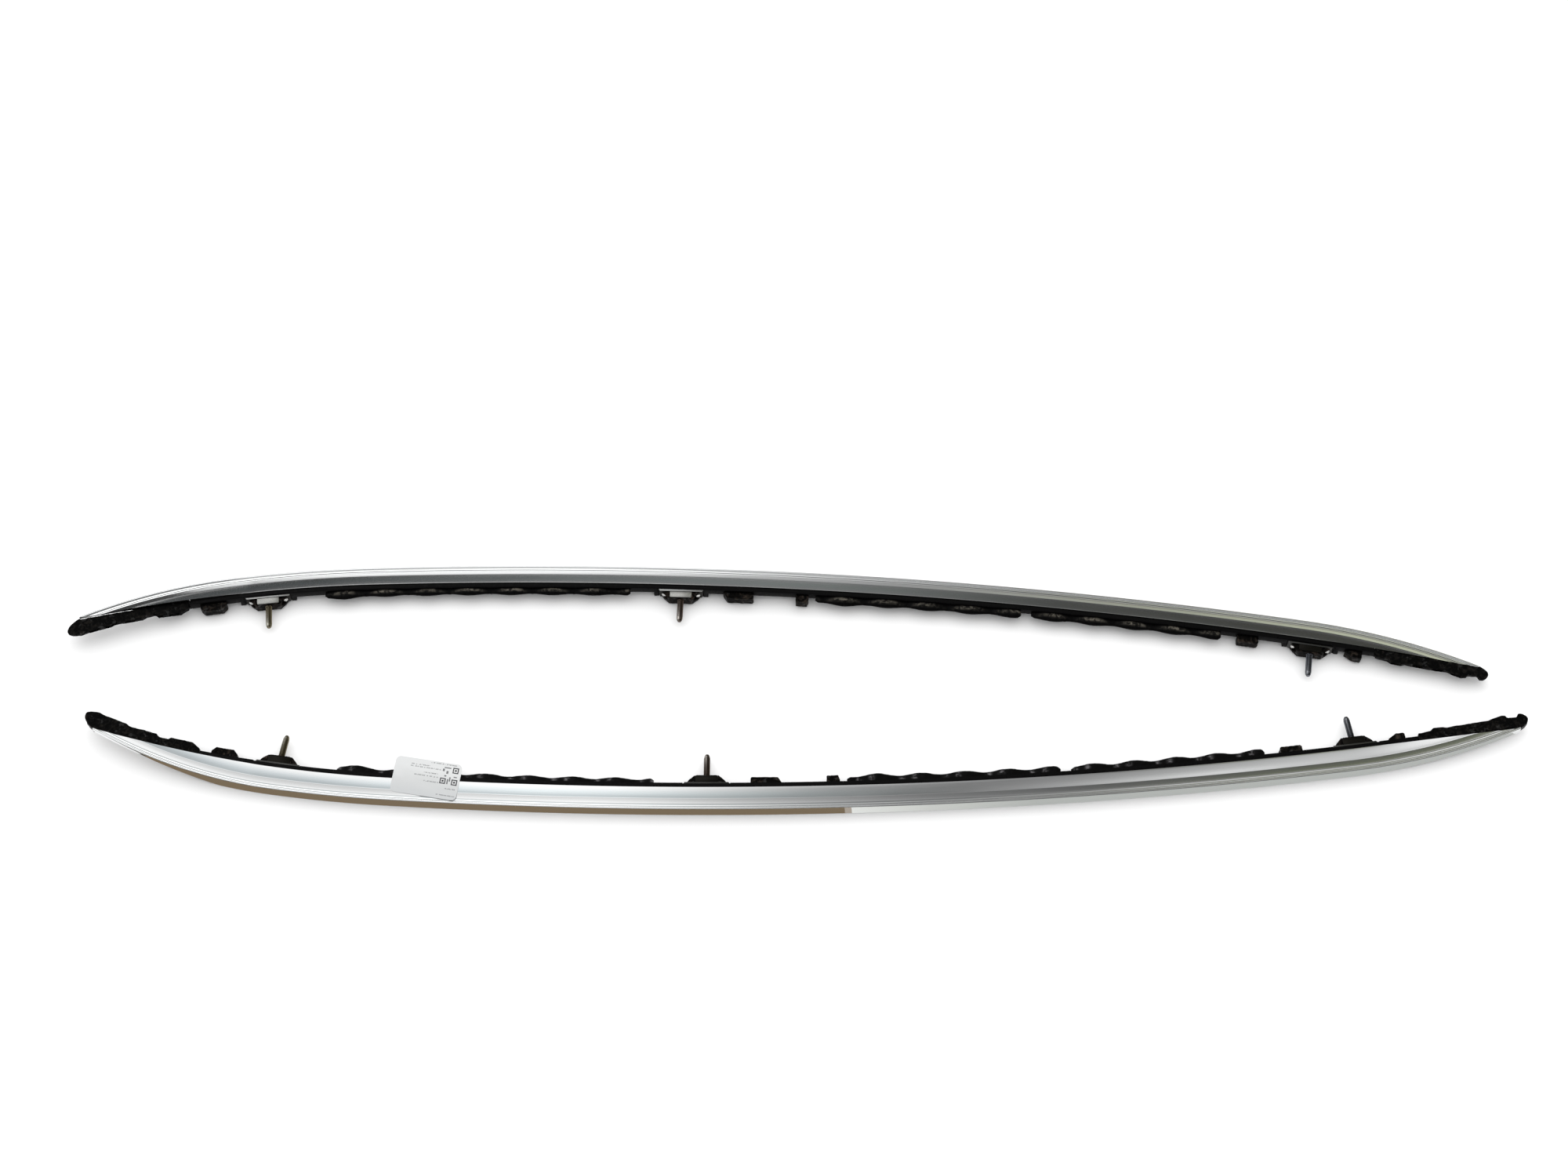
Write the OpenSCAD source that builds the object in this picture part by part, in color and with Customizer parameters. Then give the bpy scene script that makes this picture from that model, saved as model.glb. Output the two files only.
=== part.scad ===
// Pair of flush roof side rails, lying on their inner sides with the outer faces up.
// One rail is drawn about its middle foot: X runs to the rear, Y towards the crown, Z outwards.
// The left rail is placed as drawn and the right rail is its mirror image, studs towards each other.

/* [Pair] */
// Distance between the underside lines of the two rails at their rear points
pair_gap = 86.1; // [70:0.1:200]
// Distance by which the left rail lies further forward
pair_shift = 37; // [-60:1:60]
// Angle by which the left rail lies turned
pair_turn = 1.9; // [-3:0.1:3]

/* [Rail curve] */
// Radius of the underside line over most of the length
main_radius = 6080; // [4500:10:9000]
// Radius of the underside line towards the front
front_radius = 1630; // [1400:10:3000]
// Distance from the middle foot to where the front radius starts
front_bend = 400; // [300:5:450]
// Distance from the middle foot to the front point of the metal
front_reach = 763; // [745:1:790]
// Distance from the middle foot to the rear point of the metal
rear_reach = 1014; // [980:1:1050]
// Distance from the front foot to the front point of the metal
front_overhang = 232; // [215:1:260]
// Distance from the rear foot to the rear point of the metal
rear_overhang = 209; // [195:1:230]
// Length over which the crown comes down to the front point
front_taper = 218; // [190:1:240]
// Length over which the crown comes down to the rear point
rear_taper = 214; // [190:1:240]
// Height of metal left at either point
tip_height = 2; // [1.5:0.1:4]
// Rise of the front point away from the vehicle's side
front_lift = 11; // [0:0.5:16]

/* [Rail section] */
// Height of the metal from its underside to the crown
rail_height = 28; // [26:0.5:32]
// Thickness of the metal at its lower edge
rail_width = 20.5; // [19.5:0.1:23]
// Thickness of the metal at its crown
crown_width = 16; // [15:0.1:17]
// Outward lean of the crown face between its upper edge and the inner side
crown_lean = 1; // [0.5:0.1:2]
// Width of the rounded lip along the crown
lip_width = 2.6; // [2:0.1:3]
// Width of the groove beside the lip
groove_width = 1; // [0.6:0.1:1.4]
// Depth of the groove
groove_depth = 1.1; // [0.5:0.1:1.5]
// Width of the band between the groove and the crease
band_width = 10; // [8:0.5:12]
// Share of the band that lies between the groove and the ridge
ridge_share = 0.4; // [0.3:0.05:0.6]
// Thickness of the metal at the ridge
ridge_width = 16.3; // [16:0.1:16.6]
// Thickness of the metal at the crease
crease_width = 17.4; // [17:0.1:18]
// Hollow of the main face below a straight line
face_hollow = 0.2; // [0:0.05:0.4]
// Thickness of the metal walls
wall = 2.4; // [1.8:0.1:2.8]
// Width of the two inward lips at the channel's mouth
channel_lip = 3; // [2:0.1:3.2]

/* [Base moulding] */
// Thickness of the rim under the metal
rim = 6.3; // [5.5:0.1:7]
// Clearance between the rim and the metal
seat = 0.1; // [0.1:0.05:0.3]
// Clearance between the rim and the plane of the inner side
rim_low = 1; // [0.4:0.1:2]
// Height of the rim above the plane of the inner side
rim_top = 19.4; // [18.5:0.1:19.6]
// Height above which the rim has its full thickness between the feet
rim_step = 9.7; // [6:0.1:12]
// Thickness of the rim below that height
skirt = 1.2; // [0.8:0.1:2]
// Depth of the crests on the front run, from the metal
front_crest = 15; // [13:0.1:18]
// Depth of the troughs on the front run, from the metal
front_trough = 12.8; // [11:0.1:14.8]
// Depth of the crests on the rear runs, from the metal
rear_crest = 16.6; // [15:0.1:19]
// Depth of the troughs on the rear runs, from the metal
rear_trough = 14; // [12:0.1:15.6]
// Height of the flange's outer side above the plane of the inner side
scallop_top = 17.6; // [17:0.1:18]
// Thickness of the scalloped flange
scallop_wall = 5.2; // [3:0.1:6]
// Thickness of the brackets under the flange
rib_wall = 2.4; // [1.6:0.1:3]

/* [End caps] */
// Distance from the metal's front point to the end of the front cap
nose_reach = 13; // [9:0.5:16]
// Depth of the front cap below the underside line
nose_depth = 27; // [22:0.5:29]
// Distance from the metal's rear point to the end of the rear cap
tail_reach = 11; // [8:0.5:14]
// Depth of the rear cap below the underside line
tail_depth = 24; // [20:0.5:26]
// Length of the pockets in the caps' undersides
pocket_length = 12; // [8:0.5:13]
// Height of the pockets
pocket_height = 7; // [4:0.5:8]

/* [Feet] */
// Length of the foot plate
plate_length = 58; // [54:1:62]
// Width of the foot plate
plate_width = 14.5; // [13:0.5:16]
// Thickness of the foot plate
plate_thick = 2.8; // [2:0.1:3.5]
// Depth to which the plate is let into the rim
plate_inset = 0.8; // [0.3:0.05:1]
// Length of the foot block
block_length = 28; // [24:1:32]
// Width of the foot block
block_width = 13; // [12:0.5:14]
// Height of the foot block
block_height = 8.5; // [6:0.5:10]
// Diameter of the stud
stud_d = 8; // [6:0.1:8]
// Distance from the underside of the metal to the end of the stud
stud_reach = 49; // [40:1:60]
// Length of the stud's tapered end
stud_point = 4; // [2:0.5:6]
// Diameter of the stud's collar in the block
collar_d = 8.6; // [8.4:0.1:9]
// Diameter of the stud's head behind the plate
stud_head_d = 14; // [12:0.5:15]
// Thickness of the stud's head
stud_head = 2.8; // [2:0.1:3.4]
// Diameter of the foot screws
screw_d = 5; // [4:0.1:5.5]
// Diameter of the screw heads
screw_head_d = 7.6; // [7:0.1:8]
// Height of the screw heads
screw_head = 3.2; // [2:0.1:4]
// Distance of each screw from the stud
screw_spread = 21; // [19:0.5:22]
// Thickness of the backing plate in the channel
backing_thick = 3; // [2:0.1:4]

/* [Seals and pads] */
// Length of the seal along the plate
seal_length = 50; // [46:1:54]
// Length of the seal at its outer face
seal_face = 30; // [28:1:34]
// Thickness of the seal over the block
seal_over = 1.7; // [1:0.1:3]
// Clearance round the screw heads in the seal
seal_clear = 0.6; // [0.4:0.1:1]
// Width of the support pads
pad_width = 13; // [10:0.5:14]
// Depth of the recess in each pad's outer side
pad_recess = 0.8; // [0.4:0.1:1.5]

/* [Paper label] */
// Length of the label
label_length = 83; // [60:1:100]
// Height of the label
label_height = 46; // [35:1:55]
// Thickness of the label
label_thick = 0.25; // [0.2:0.05:0.5]
// Distance of the label's middle in front of the middle foot
label_place = 345; // [300:1:380]
// Turn of the label against the rail
label_turn = 6; // [0:0.1:10]

/* [Hidden] */
$fn = 48;

// Places of the three feet along the rail
front_foot = front_reach - front_overhang;
rear_foot = rear_reach - rear_overhang;
FRONT = -front_foot;
MIDDLE = 0;
REAR = rear_foot;
FEET = [FRONT, MIDDLE, REAR];

// Places along the rail at its usual sizes, moved with the feet and points to the sizes above
SPREAD = [[-763, -front_reach], [-531, FRONT], [0, MIDDLE], [805, REAR], [1014, rear_reach]];
function spread(x) = lookup(x, SPREAD);

// Small clearance between pieces that are fastened together
fit = 0.05;
// Width to which clipped parts of the section shrink
sliver = 0.04;

// Underside line: tangent arcs, each centre on the line through the joint and the centre before it
function arc_y(centre, radius, x) = centre.y + sqrt(max(0, radius * radius - pow(x - centre.x, 2)));
function next_centre(centre, radius, next, x) =
    let (joint = [x, arc_y(centre, radius, x)])
    joint + (centre - joint) * next / radius;
main_centre = [0, -main_radius];
front_centre = next_centre(main_centre, main_radius, front_radius, -front_bend);
function base_y(x) = x < -front_bend
    ? arc_y(front_centre, front_radius, x)
    : arc_y(main_centre, main_radius, x);
function base_slope(x) = base_y(x + 0.5) - base_y(x - 0.5);

// Crown line: a parallel to the underside line, and at each end an arc tangent to it that meets the point
crown_bend = -front_bend * (main_radius + rail_height) / main_radius;
function full_crown_y(x) = x < crown_bend
    ? arc_y(front_centre, front_radius + rail_height, x)
    : arc_y(main_centre, main_radius + rail_height, x);
function crown_centre(x) = x < crown_bend ? front_centre : main_centre;
function tip(x) = [x, base_y(x) + tip_height];
function taper_radius(start, end) =
    let (joint = [start, full_crown_y(start)])
    let (inward = (crown_centre(start) - joint) / norm(crown_centre(start) - joint))
    let (reach = tip(end) - joint)
    reach * reach / (2 * (reach * inward));
function taper_centre(start, end) =
    let (joint = [start, full_crown_y(start)])
    let (inward = (crown_centre(start) - joint) / norm(crown_centre(start) - joint))
    joint + inward * taper_radius(start, end);
front_start = front_taper - front_reach;
rear_start = rear_reach - rear_taper;
front_taper_r = taper_radius(front_start, -front_reach);
rear_taper_r = taper_radius(rear_start, rear_reach);
front_taper_c = taper_centre(front_start, -front_reach);
rear_taper_c = taper_centre(rear_start, rear_reach);
function crown_y(x) =
    x < front_start ? arc_y(front_taper_c, front_taper_r, x)
    : x > rear_start ? arc_y(rear_taper_c, rear_taper_r, x)
    : full_crown_y(x);
function crown_slope(x) = crown_y(x + 0.5) - crown_y(x - 0.5);

// Rise of the front end, and the slanting cuts that thin both ends from the inner side
lift_start = front_start - front_taper / 22;
function lift(x) = front_lift * pow(max(0, (lift_start - x) / (lift_start + front_reach)), 1.2);
tip_width = 2.8;
front_cut = 0.2;
rear_cut = 0.045;
front_cut_start = front_start - front_taper / 4;
rear_cut_start = rear_start + rear_taper / 7;
function inner_cut(x) =
    let (front = front_cut * (front_cut_start - x))
    let (rear = rear_cut * (x - rear_cut_start))
    min(max(0, front, rear), lift(x) + crown_width - tip_width);

// Outer face of the section: depth below the crown against thickness
groove_start = lip_width + 0.2;
band_start = groove_start + groove_width;
crease_depth = band_start + band_width;
face_depth = (crease_depth + rail_height) / 2;
FACE = [
    [0, crown_width - 0.9],
    [0.35, crown_width - 0.25],
    [1.1, crown_width + 0.05],
    [lip_width - 0.6, crown_width],
    [lip_width, crown_width - 0.5],
    [groove_start, crown_width - groove_depth],
    [band_start - 0.2, crown_width - groove_depth],
    [band_start, crown_width - 0.25],
    [band_start + ridge_share * band_width, ridge_width],
    [crease_depth - 0.4, crease_width - 0.08],
    [crease_depth, crease_width - 0.16],
    [crease_depth + 0.4, crease_width + 0.08],
    [face_depth, (crease_width + rail_width) / 2 - face_hollow],
    [rail_height, rail_width]
];
function face_z(depth) = lookup(depth, FACE);

// Crown face: share of the height above the inner side against share of the lean
CROWN_FACE = [[0, 0.6], [0.02, 0.95], [0.09, 1], [0.5, 0.55]];

// One section of the rail at a place along it, as points in Y and Z
roof_depth = wall + 1.6;
function section(x) =
    let (top = crown_y(x))
    let (skew = norm([1, crown_slope(x)]))
    let (depth = (top - base_y(x)) / skew)
    let (rise = lift(x))
    let (low = inner_cut(x))
    let (open = depth > roof_depth + 3 * wall && low < 5)
    let (roof = open ? roof_depth : depth - 3 * sliver)
    let (ledge = open ? depth - wall : depth - 2 * sliver)
    let (thin = min(wall, (rise + crown_width - low) / 8))
    let (lip = min(channel_lip, (rise + crown_width - low) / 8))
    let (last = len(FACE) - 1)
    let (bends = [for (i = [last:-1:0]) i == last ? depth : min(FACE[i][0], depth - sliver * (last - i))])
    let (corner = rise + face_z(0))
    [
        for (d = bends) [top - d * skew, rise + face_z(d)],
        for (p = [CROWN_FACE[3], CROWN_FACE[2], CROWN_FACE[1], CROWN_FACE[0]])
            [top + p[1] * crown_lean, low + p[0] * (corner - low)],
        [base_y(x), low],
        [base_y(x), low + thin + lip],
        [top - ledge * skew, low + thin + lip],
        [top - ledge * skew, low + thin],
        [top - roof * skew, low + thin],
        [top - roof * skew, rise + face_z(roof) - thin],
        [top - ledge * skew, rise + face_z(ledge) - thin],
        [top - ledge * skew, rise + face_z(ledge) - thin - lip],
        [base_y(x), rise + face_z(depth) - thin - lip]
    ];

// Bulge of the two end faces, and the gap from there to the caps
tip_bulge = 0.3;
tip_gap = tip_bulge + 0.1;

// Places of the sections: close together where the crown bends most
taper_step = 9;
rail_step = 32;
function steps(from, to, step) =
    let (count = ceil((to - from) / step))
    [for (i = [0:count - 1]) from + (to - from) * i / count];
STATIONS = concat(
    steps(-front_reach, front_start, taper_step),
    steps(front_start, rear_start, rail_step),
    steps(rear_start, rear_reach, taper_step),
    [rear_reach]
);

// Skin over a row of outlines that all have the same number of points, closed by a point at each end
module loft(rows, start, end) {
    count = len(rows[0]);
    last = len(rows) - 1;
    tail = len(rows) * count + 1;
    function at(i, j) = 1 + i * count + j % count;
    sides = [
        for (i = [0:last - 1], j = [0:count - 1])
            each [[at(i, j), at(i + 1, j), at(i, j + 1)], [at(i, j + 1), at(i + 1, j), at(i + 1, j + 1)]]
    ];
    ends = [
        for (j = [0:count - 1])
            each [[0, at(0, j), at(0, j + 1)], [tail, at(last, j + 1), at(last, j)]]
    ];
    polyhedron(points = concat([start], [for (row = rows) each row], [end]), faces = concat(sides, ends));
}

// Frame of a foot: origin on the underside line, -Y straight down from the rail
module at_foot(x) {
    translate([x, base_y(x), 0]) rotate([0, 0, atan(base_slope(x))]) children();
}

// Round hole or shank along Y between two depths below the underside line
module along(diameter, from, to, x, z) {
    translate([x, -from, z]) rotate([90, 0, 0]) cylinder(d = diameter, h = to - from);
}

// Heights in a foot, counted down from the underside line
plate_top = rim - plate_inset;
plate_low = plate_top + plate_thick;
block_low = plate_low + block_height;
seal_low = block_low + seal_over;
head_top = plate_top - stud_head;
foot_z = 10;
screw_z = 11;
plate_z = foot_z + 0.25;
block_z = foot_z + 0.5;
plate_gap = 0.3;

module rail_profile() {
    rows = [for (x = STATIONS) [for (p = section(x)) [x, p.x, p.y]]];
    first = STATIONS[0];
    last = STATIONS[len(STATIONS) - 1];
    color("silver")
    loft(
        rows,
        [first - tip_bulge, base_y(first) + tip_height / 2, lift(first) + crown_width - tip_width / 2],
        [last + tip_bulge, base_y(last) + tip_height / 2, crown_width / 2]
    );
}

// Strip that hangs under the underside line, between two places and down to a depth
function under(x, depth) = [x, base_y(x) - depth];
function strip(places, depths, top = seat) = concat(
    [for (x = places) under(x, top)],
    [for (i = [len(places) - 1:-1:0]) under(places[i], depths[i])]
);

// Scalloped run: where it starts and ends, a crest, its pitch, crest and trough depths, first crest's extra
RUNS = [
    [spread(-457), spread(-65), spread(-272), -spread(-53.3), front_crest, front_trough, 2],
    [spread(173), spread(437), spread(210), spread(53.6), rear_crest, rear_trough, 1.4],
    [spread(450), spread(691), spread(477), spread(51), rear_crest, rear_trough, 0]
];
scallop_step = 6.5;
scallop_low = scallop_top - scallop_wall;
scallop_chamfer = 4;
bracket_low = 4;
bracket_depth = rim + 1.8;
function scallop(run, x) =
    let (middle = (run[4] + run[5]) / 2)
    let (swing = (run[4] - run[5]) / 2)
    let (edge = min(x - run[0], run[1] - x) / scallop_chamfer)
    let (first = run[2] - floor((run[2] - run[0]) / run[3]) * run[3])
    let (swell = run[6] * max(0, 1 - abs(x - first) * 1.4 / run[3]))
    middle + swing * cos(360 * (x - run[2]) / run[3]) + swell - 3 * max(0, 1 - edge);

module scallop_face(run) {
    places = concat(
        [run[0]],
        steps(run[0] + scallop_chamfer, run[1] - scallop_chamfer, scallop_step),
        [run[1] - scallop_chamfer, run[1]]
    );
    polygon(strip(places, [for (x = places) scallop(run, x)]));
}

module flange_brackets(run) {
    first = ceil((run[0] + 3 - run[2]) / run[3] * 2);
    last = floor((run[1] - 3 - run[2]) / run[3] * 2);
    for (i = [first:last])
        let (x = run[2] + i * run[3] / 2)
            polygon([
                under(x - rib_wall / 2, skirt / 2), under(x + rib_wall / 2, skirt / 2),
                under(x + rib_wall / 2, bracket_depth), under(x - rib_wall / 2, bracket_depth)
            ]);
}

// Ends of the moulding, where the caps take over
moulding_front = spread(-628);
moulding_rear = spread(884);
joint_gap = 0.3;

RIM_STATIONS = concat(
    [moulding_front],
    [for (x = STATIONS) if (x > moulding_front + 1 && x < moulding_rear - 1) x],
    [moulding_rear]
);

module rim_strip(places, top, depth, low) {
    translate([0, 0, low])
        linear_extrude(rim_top - low)
            polygon(strip(places, [for (x = places) depth], top));
}

module base_moulding() {
    foot_rim = plate_length / 2 + 6;
    color([0.13, 0.13, 0.14])
    difference() {
        union() {
            rim_strip(RIM_STATIONS, seat, rim, rim_step);
            rim_strip(RIM_STATIONS, seat, skirt, rim_low);
            for (x = FEET)
                rim_strip([for (i = [-2:2]) x + i * foot_rim / 2], skirt / 2, rim, rim_low);
            for (run = RUNS) {
                translate([0, 0, scallop_low]) linear_extrude(scallop_wall) scallop_face(run);
                translate([0, 0, bracket_low])
                    linear_extrude(scallop_low + 1 - bracket_low)
                        flange_brackets(run);
            }
        }
        for (x = FEET)
            at_foot(x) {
                translate([-plate_length / 2 - plate_gap, -rim - 3, rim_low - 1])
                    cube([plate_length + 2 * plate_gap, 3 + plate_inset, rim_top - rim_low + 2]);
                along(stud_head_d + 0.6, -2, rim + 1, 0, foot_z);
                for (side = [-1, 1]) along(screw_d + 0.6, -2, rim + 1, side * screw_spread, screw_z);
            }
    }
}

// End cap: an outline in the plane of the rail between a slanting lower and a slanting upper plane
module cap(outline, joint, reach, low, top, low_tip, top_tip) {
    span = abs(reach - joint);
    toward = sign(reach - joint);
    low_angle = atan((low_tip - low) / span);
    top_angle = atan((top_tip - top) / span);
    size = 2 * span;
    difference() {
        linear_extrude(top_tip + 8) polygon(outline);
        translate([joint, -size, top]) rotate([0, -toward * top_angle, 0])
            translate([-size, 0, 0]) cube([2 * size, 2 * size, size]);
        translate([joint, -size, low]) rotate([0, -toward * low_angle, 0])
            translate([-size, 0, -size]) cube([2 * size, 2 * size, size]);
    }
}

// Front cap: shares of the nose's reach and the cap's depth round the nose, from the crown's side down,
// then shares of the cap's length and depth from the metal's point back to the joint with the moulding
front_joint = moulding_front - joint_gap;
front_cap_length = front_reach + front_joint;
NOSE = [
    [0.2, 0], [0.46, 0.09], [0.75, 0.22], [0.93, 0.38], [1, 0.54],
    [0.95, 0.7], [0.75, 0.83], [0.4, 0.93], [0, 0.98]
];
FRONT_STEPS = [
    [0.04, 1], [0.1, 0.92], [0.3, 0.8], [0.33, 0.7], [0.585, 0.68], [0.615, 0.54],
    [0.695, 0.52], [0.725, 0.655], [0.925, 0.67], [0.97, 0.52], [1, 0.4]
];
// Pockets: shares of the cap's length, from the joint
FRONT_POCKETS = [0.13, 0.28, 0.53, 0.7, 0.85];
pocket_top = nose_depth * 0.45;

module front_cap() {
    point = -front_reach;
    tip = point - tip_gap;
    reach = nose_reach - tip_gap;
    top = [for (x = concat(steps(tip, front_joint, 14), [front_joint])) under(x, seat)];
    nose = concat([under(tip, -1.5)], [for (s = NOSE) under(tip - s[0] * reach, s[1] * nose_depth)]);
    steps_down = [for (s = FRONT_STEPS) under(point + s[0] * front_cap_length, s[1] * nose_depth)];
    color([0.12, 0.12, 0.12])
    difference() {
        cap(concat(nose, steps_down, [for (i = [len(top) - 1:-1:0]) top[i]]),
            front_joint, point - nose_reach, 3, 18.6, 15, 25.6);
        for (s = FRONT_POCKETS)
            let (x = front_joint - s * front_cap_length)
                translate([x - pocket_length / 2, base_y(x) - pocket_top - nose_depth, 8 + 8 * s])
                    cube([pocket_length, nose_depth, pocket_height]);
    }
}

// Rear cap: shares of its length and depth from the joint to the metal's point, then round the tail
rear_joint = moulding_rear + joint_gap;
rear_cap_length = rear_reach - rear_joint;
REAR_STEPS = [
    [0, 0.52], [0.12, 0.62], [0.15, 0.775], [0.245, 0.78], [0.29, 0.685], [0.35, 0.73],
    [0.69, 0.755], [0.735, 0.86], [0.82, 0.98], [0.865, 0.94], [0.885, 0.76], [0.97, 0.72], [0.988, 0.93]
];
TAIL = [
    [0.2, 0.93], [0.5, 0.86], [0.8, 0.71], [0.97, 0.53],
    [1, 0.41], [0.93, 0.25], [0.7, 0.1], [0.35, 0]
];
REAR_POCKETS = [0.2, 0.41, 0.6, 0.77];

module rear_cap() {
    point = rear_reach;
    tip = point + tip_gap;
    top = [for (x = concat(steps(rear_joint, tip, 14), [tip])) under(x, seat)];
    steps_down = [for (s = REAR_STEPS) under(rear_joint + s[0] * rear_cap_length, s[1] * tail_depth)];
    tail = concat([for (s = TAIL) under(point + s[0] * tail_reach, s[1] * tail_depth)], [under(tip, -1.4)]);
    color([0.12, 0.12, 0.12])
    difference() {
        cap(concat(steps_down, tail, [for (i = [len(top) - 1:-1:0]) top[i]]),
            rear_joint, point + tail_reach, 2, 18.6, 5, 17.2);
        for (s = REAR_POCKETS)
            let (x = rear_joint + s * rear_cap_length)
                translate([x - pocket_length / 2, base_y(x) - pocket_top - tail_depth, 6.5])
                    cube([pocket_length, tail_depth, pocket_height]);
    }
}

module foot_plate(x) {
    half = plate_length / 2;
    color([0.80, 0.80, 0.77])
    at_foot(x)
        difference() {
            translate([0, 0, plate_z - plate_width / 2])
                linear_extrude(plate_width)
                    polygon([
                        [-half, -plate_top], [half, -plate_top],
                        [half - 2, -plate_low], [-half + 2, -plate_low]
                    ]);
            along(collar_d + 2 * fit, plate_top - 1, plate_low + 1, 0, foot_z);
            for (side = [-1, 1]) along(screw_d + 0.3, plate_top - 1, plate_low + 1, side * screw_spread, screw_z);
        }
}

module foot_block(x) {
    half = block_length / 2;
    chamfer = 1.2;
    color([0.72, 0.73, 0.71])
    at_foot(x)
        difference() {
            translate([0, 0, block_z - block_width / 2])
                linear_extrude(block_width)
                    polygon([
                        [-half, -plate_low], [half, -plate_low],
                        [half, -block_low + chamfer], [half - chamfer, -block_low],
                        [-half + chamfer, -block_low], [-half, -block_low + chamfer]
                    ]);
            along(collar_d + 2 * fit, plate_low - 1, block_low + 1, 0, foot_z);
        }
}

// Stud: head behind the plate, collar through the block, shank, and a rounded point
module foot_stud(x) {
    point_d = stud_d * 0.45;
    color([0.46, 0.43, 0.36])
    at_foot(x)
        translate([0, 0, foot_z])
            rotate([90, 0, 0])
                rotate_extrude()
                    polygon([
                        [0, head_top], [stud_head_d / 2, head_top], [stud_head_d / 2, plate_top],
                        [collar_d / 2, plate_top], [collar_d / 2, seal_low], [stud_d / 2, seal_low],
                        [stud_d / 2, stud_reach - stud_point], [stud_d / 2 - 0.7, stud_reach - stud_point / 2],
                        [point_d / 2, stud_reach], [0, stud_reach]
                    ]);
}

// Seal: a boot over the block, with two wings that leave the screw heads free
module foot_seal(x) {
    half = seal_length / 2;
    face = seal_face / 2;
    wing_low = foot_z - 7.6;
    wing_top = foot_z + 5.5;
    boot_top = foot_z + 6.6;
    boot = block_length / 2 + 1.3;
    color([0.20, 0.16, 0.13])
    at_foot(x)
        difference() {
            union() {
                translate([0, 0, wing_low])
                    linear_extrude(wing_top - wing_low)
                        polygon([
                            [-half, -plate_low], [half, -plate_low], [half - 3, -plate_low - 4],
                            [face, -seal_low], [-face, -seal_low], [-half + 3, -plate_low - 4]
                        ]);
                translate([0, 0, wing_low])
                    linear_extrude(boot_top - wing_low)
                        polygon([
                            [-boot, -plate_low], [boot, -plate_low], [boot, -seal_low + 2.5],
                            [boot - 3, -seal_low], [3 - boot, -seal_low], [-boot, -seal_low + 2.5]
                        ]);
            }
            translate([-block_length / 2 - fit, -block_low - fit, block_z - block_width / 2 - fit])
                cube([block_length + 2 * fit, block_height + 1, block_width + 4]);
            along(collar_d + 2 * fit, block_low - 1, seal_low + 1, 0, foot_z);
            for (side = [-1, 1])
                along(screw_head_d + 2 * seal_clear, plate_low - 1, seal_low + 1, side * screw_spread, screw_z);
        }
}

// Backing plate: rests on the channel's lips, and takes the threads of the two foot screws
module foot_backing(x) {
    low = wall + 0.3;
    width = face_z(rail_height - wall - backing_thick) - 2 * wall - 2 * plate_gap - 0.4;
    color([0.62, 0.62, 0.60])
    at_foot(x)
        difference() {
            translate([-plate_length / 2, low, wall + plate_gap])
                cube([plate_length, backing_thick, width]);
            for (side = [-1, 1]) along(screw_d, -low - backing_thick - 1, 0, side * screw_spread, screw_z);
        }
}

// Foot screws: low domed heads under the plate, shanks up through the backing plate
module foot_screws() {
    end = -(wall + 0.3 + backing_thick);
    color([0.85, 0.85, 0.84])
    for (x = FEET)
        at_foot(x)
            for (side = [-1, 1])
                translate([side * screw_spread, 0, screw_z])
                    rotate([90, 0, 0])
                        rotate_extrude()
                            polygon([
                                [0, end], [screw_d / 2, end], [screw_d / 2, plate_low],
                                [screw_head_d / 2, plate_low], [screw_head_d / 2, plate_low + screw_head * 0.55],
                                [screw_head_d / 2 * 0.8, plate_low + screw_head * 0.88],
                                [screw_head_d / 2 * 0.4, plate_low + screw_head], [0, plate_low + screw_head]
                            ]);
}

// Support pads: where each starts and ends, its depth, and the slants of its front and rear corners
PADS = [
    [spread(-617), spread(-583), 17, [5, 5.5], [6, 5.3]],
    [spread(54), spread(94), 15.7, [1.5, 1.5], [6, 9]],
    [spread(148), spread(165), 16.6, [1.5, 1.5], [2, 6]],
    [spread(712), spread(740), 15.9, [1.5, 1.5], [2, 2]],
    [spread(848), spread(870), 15.8, [11, 6], [1.5, 2]]
];
LEFT_PADS = [for (pad = PADS) pad == PADS[1] ? [pad[0], pad[1], pad[2], pad[4], pad[3]] : pad];
pad_low = 3.4;

module foam_pad(pad) {
    width = pad[1] - pad[0];
    middle = (pad[0] + pad[1]) / 2;
    half = width / 2;
    inner = rim + half * half / (2 * front_radius) + 0.15;
    at_foot(middle)
        difference() {
            translate([0, 0, pad_low])
                linear_extrude(pad_width)
                    polygon([
                        [-half, -inner], [half, -inner],
                        [half, pad[4].y - pad[2]], [half - pad[4].x, -pad[2]],
                        [pad[3].x - half, -pad[2]], [-half, pad[3].y - pad[2]]
                    ]);
            translate([-half + pad[3].x + 0.9, -pad[2] + 2.2, pad_low + pad_width - pad_recess])
                cube([width - pad[3].x - pad[4].x - 1.8, pad[2] - inner - 4, pad_recess + 1]);
        }
}

module foam_pads(pads) {
    color([0.24, 0.20, 0.18]) for (pad = pads) foam_pad(pad);
}

// Label: flat sheet that rests on the lower edge and on the band next to the groove
module paper_label() {
    face_angle = atan((rail_width - face_z(band_start)) / (rail_height - band_start));
    color("white")
    at_foot(-label_place)
        translate([0, 0, rail_width + fit])
            rotate([-face_angle, 0, 0])
                rotate([0, 0, label_turn])
                    translate([-label_length / 2, -label_height / 2 - 2, 0])
                        cube([label_length, label_height, label_thick]);
}

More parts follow.
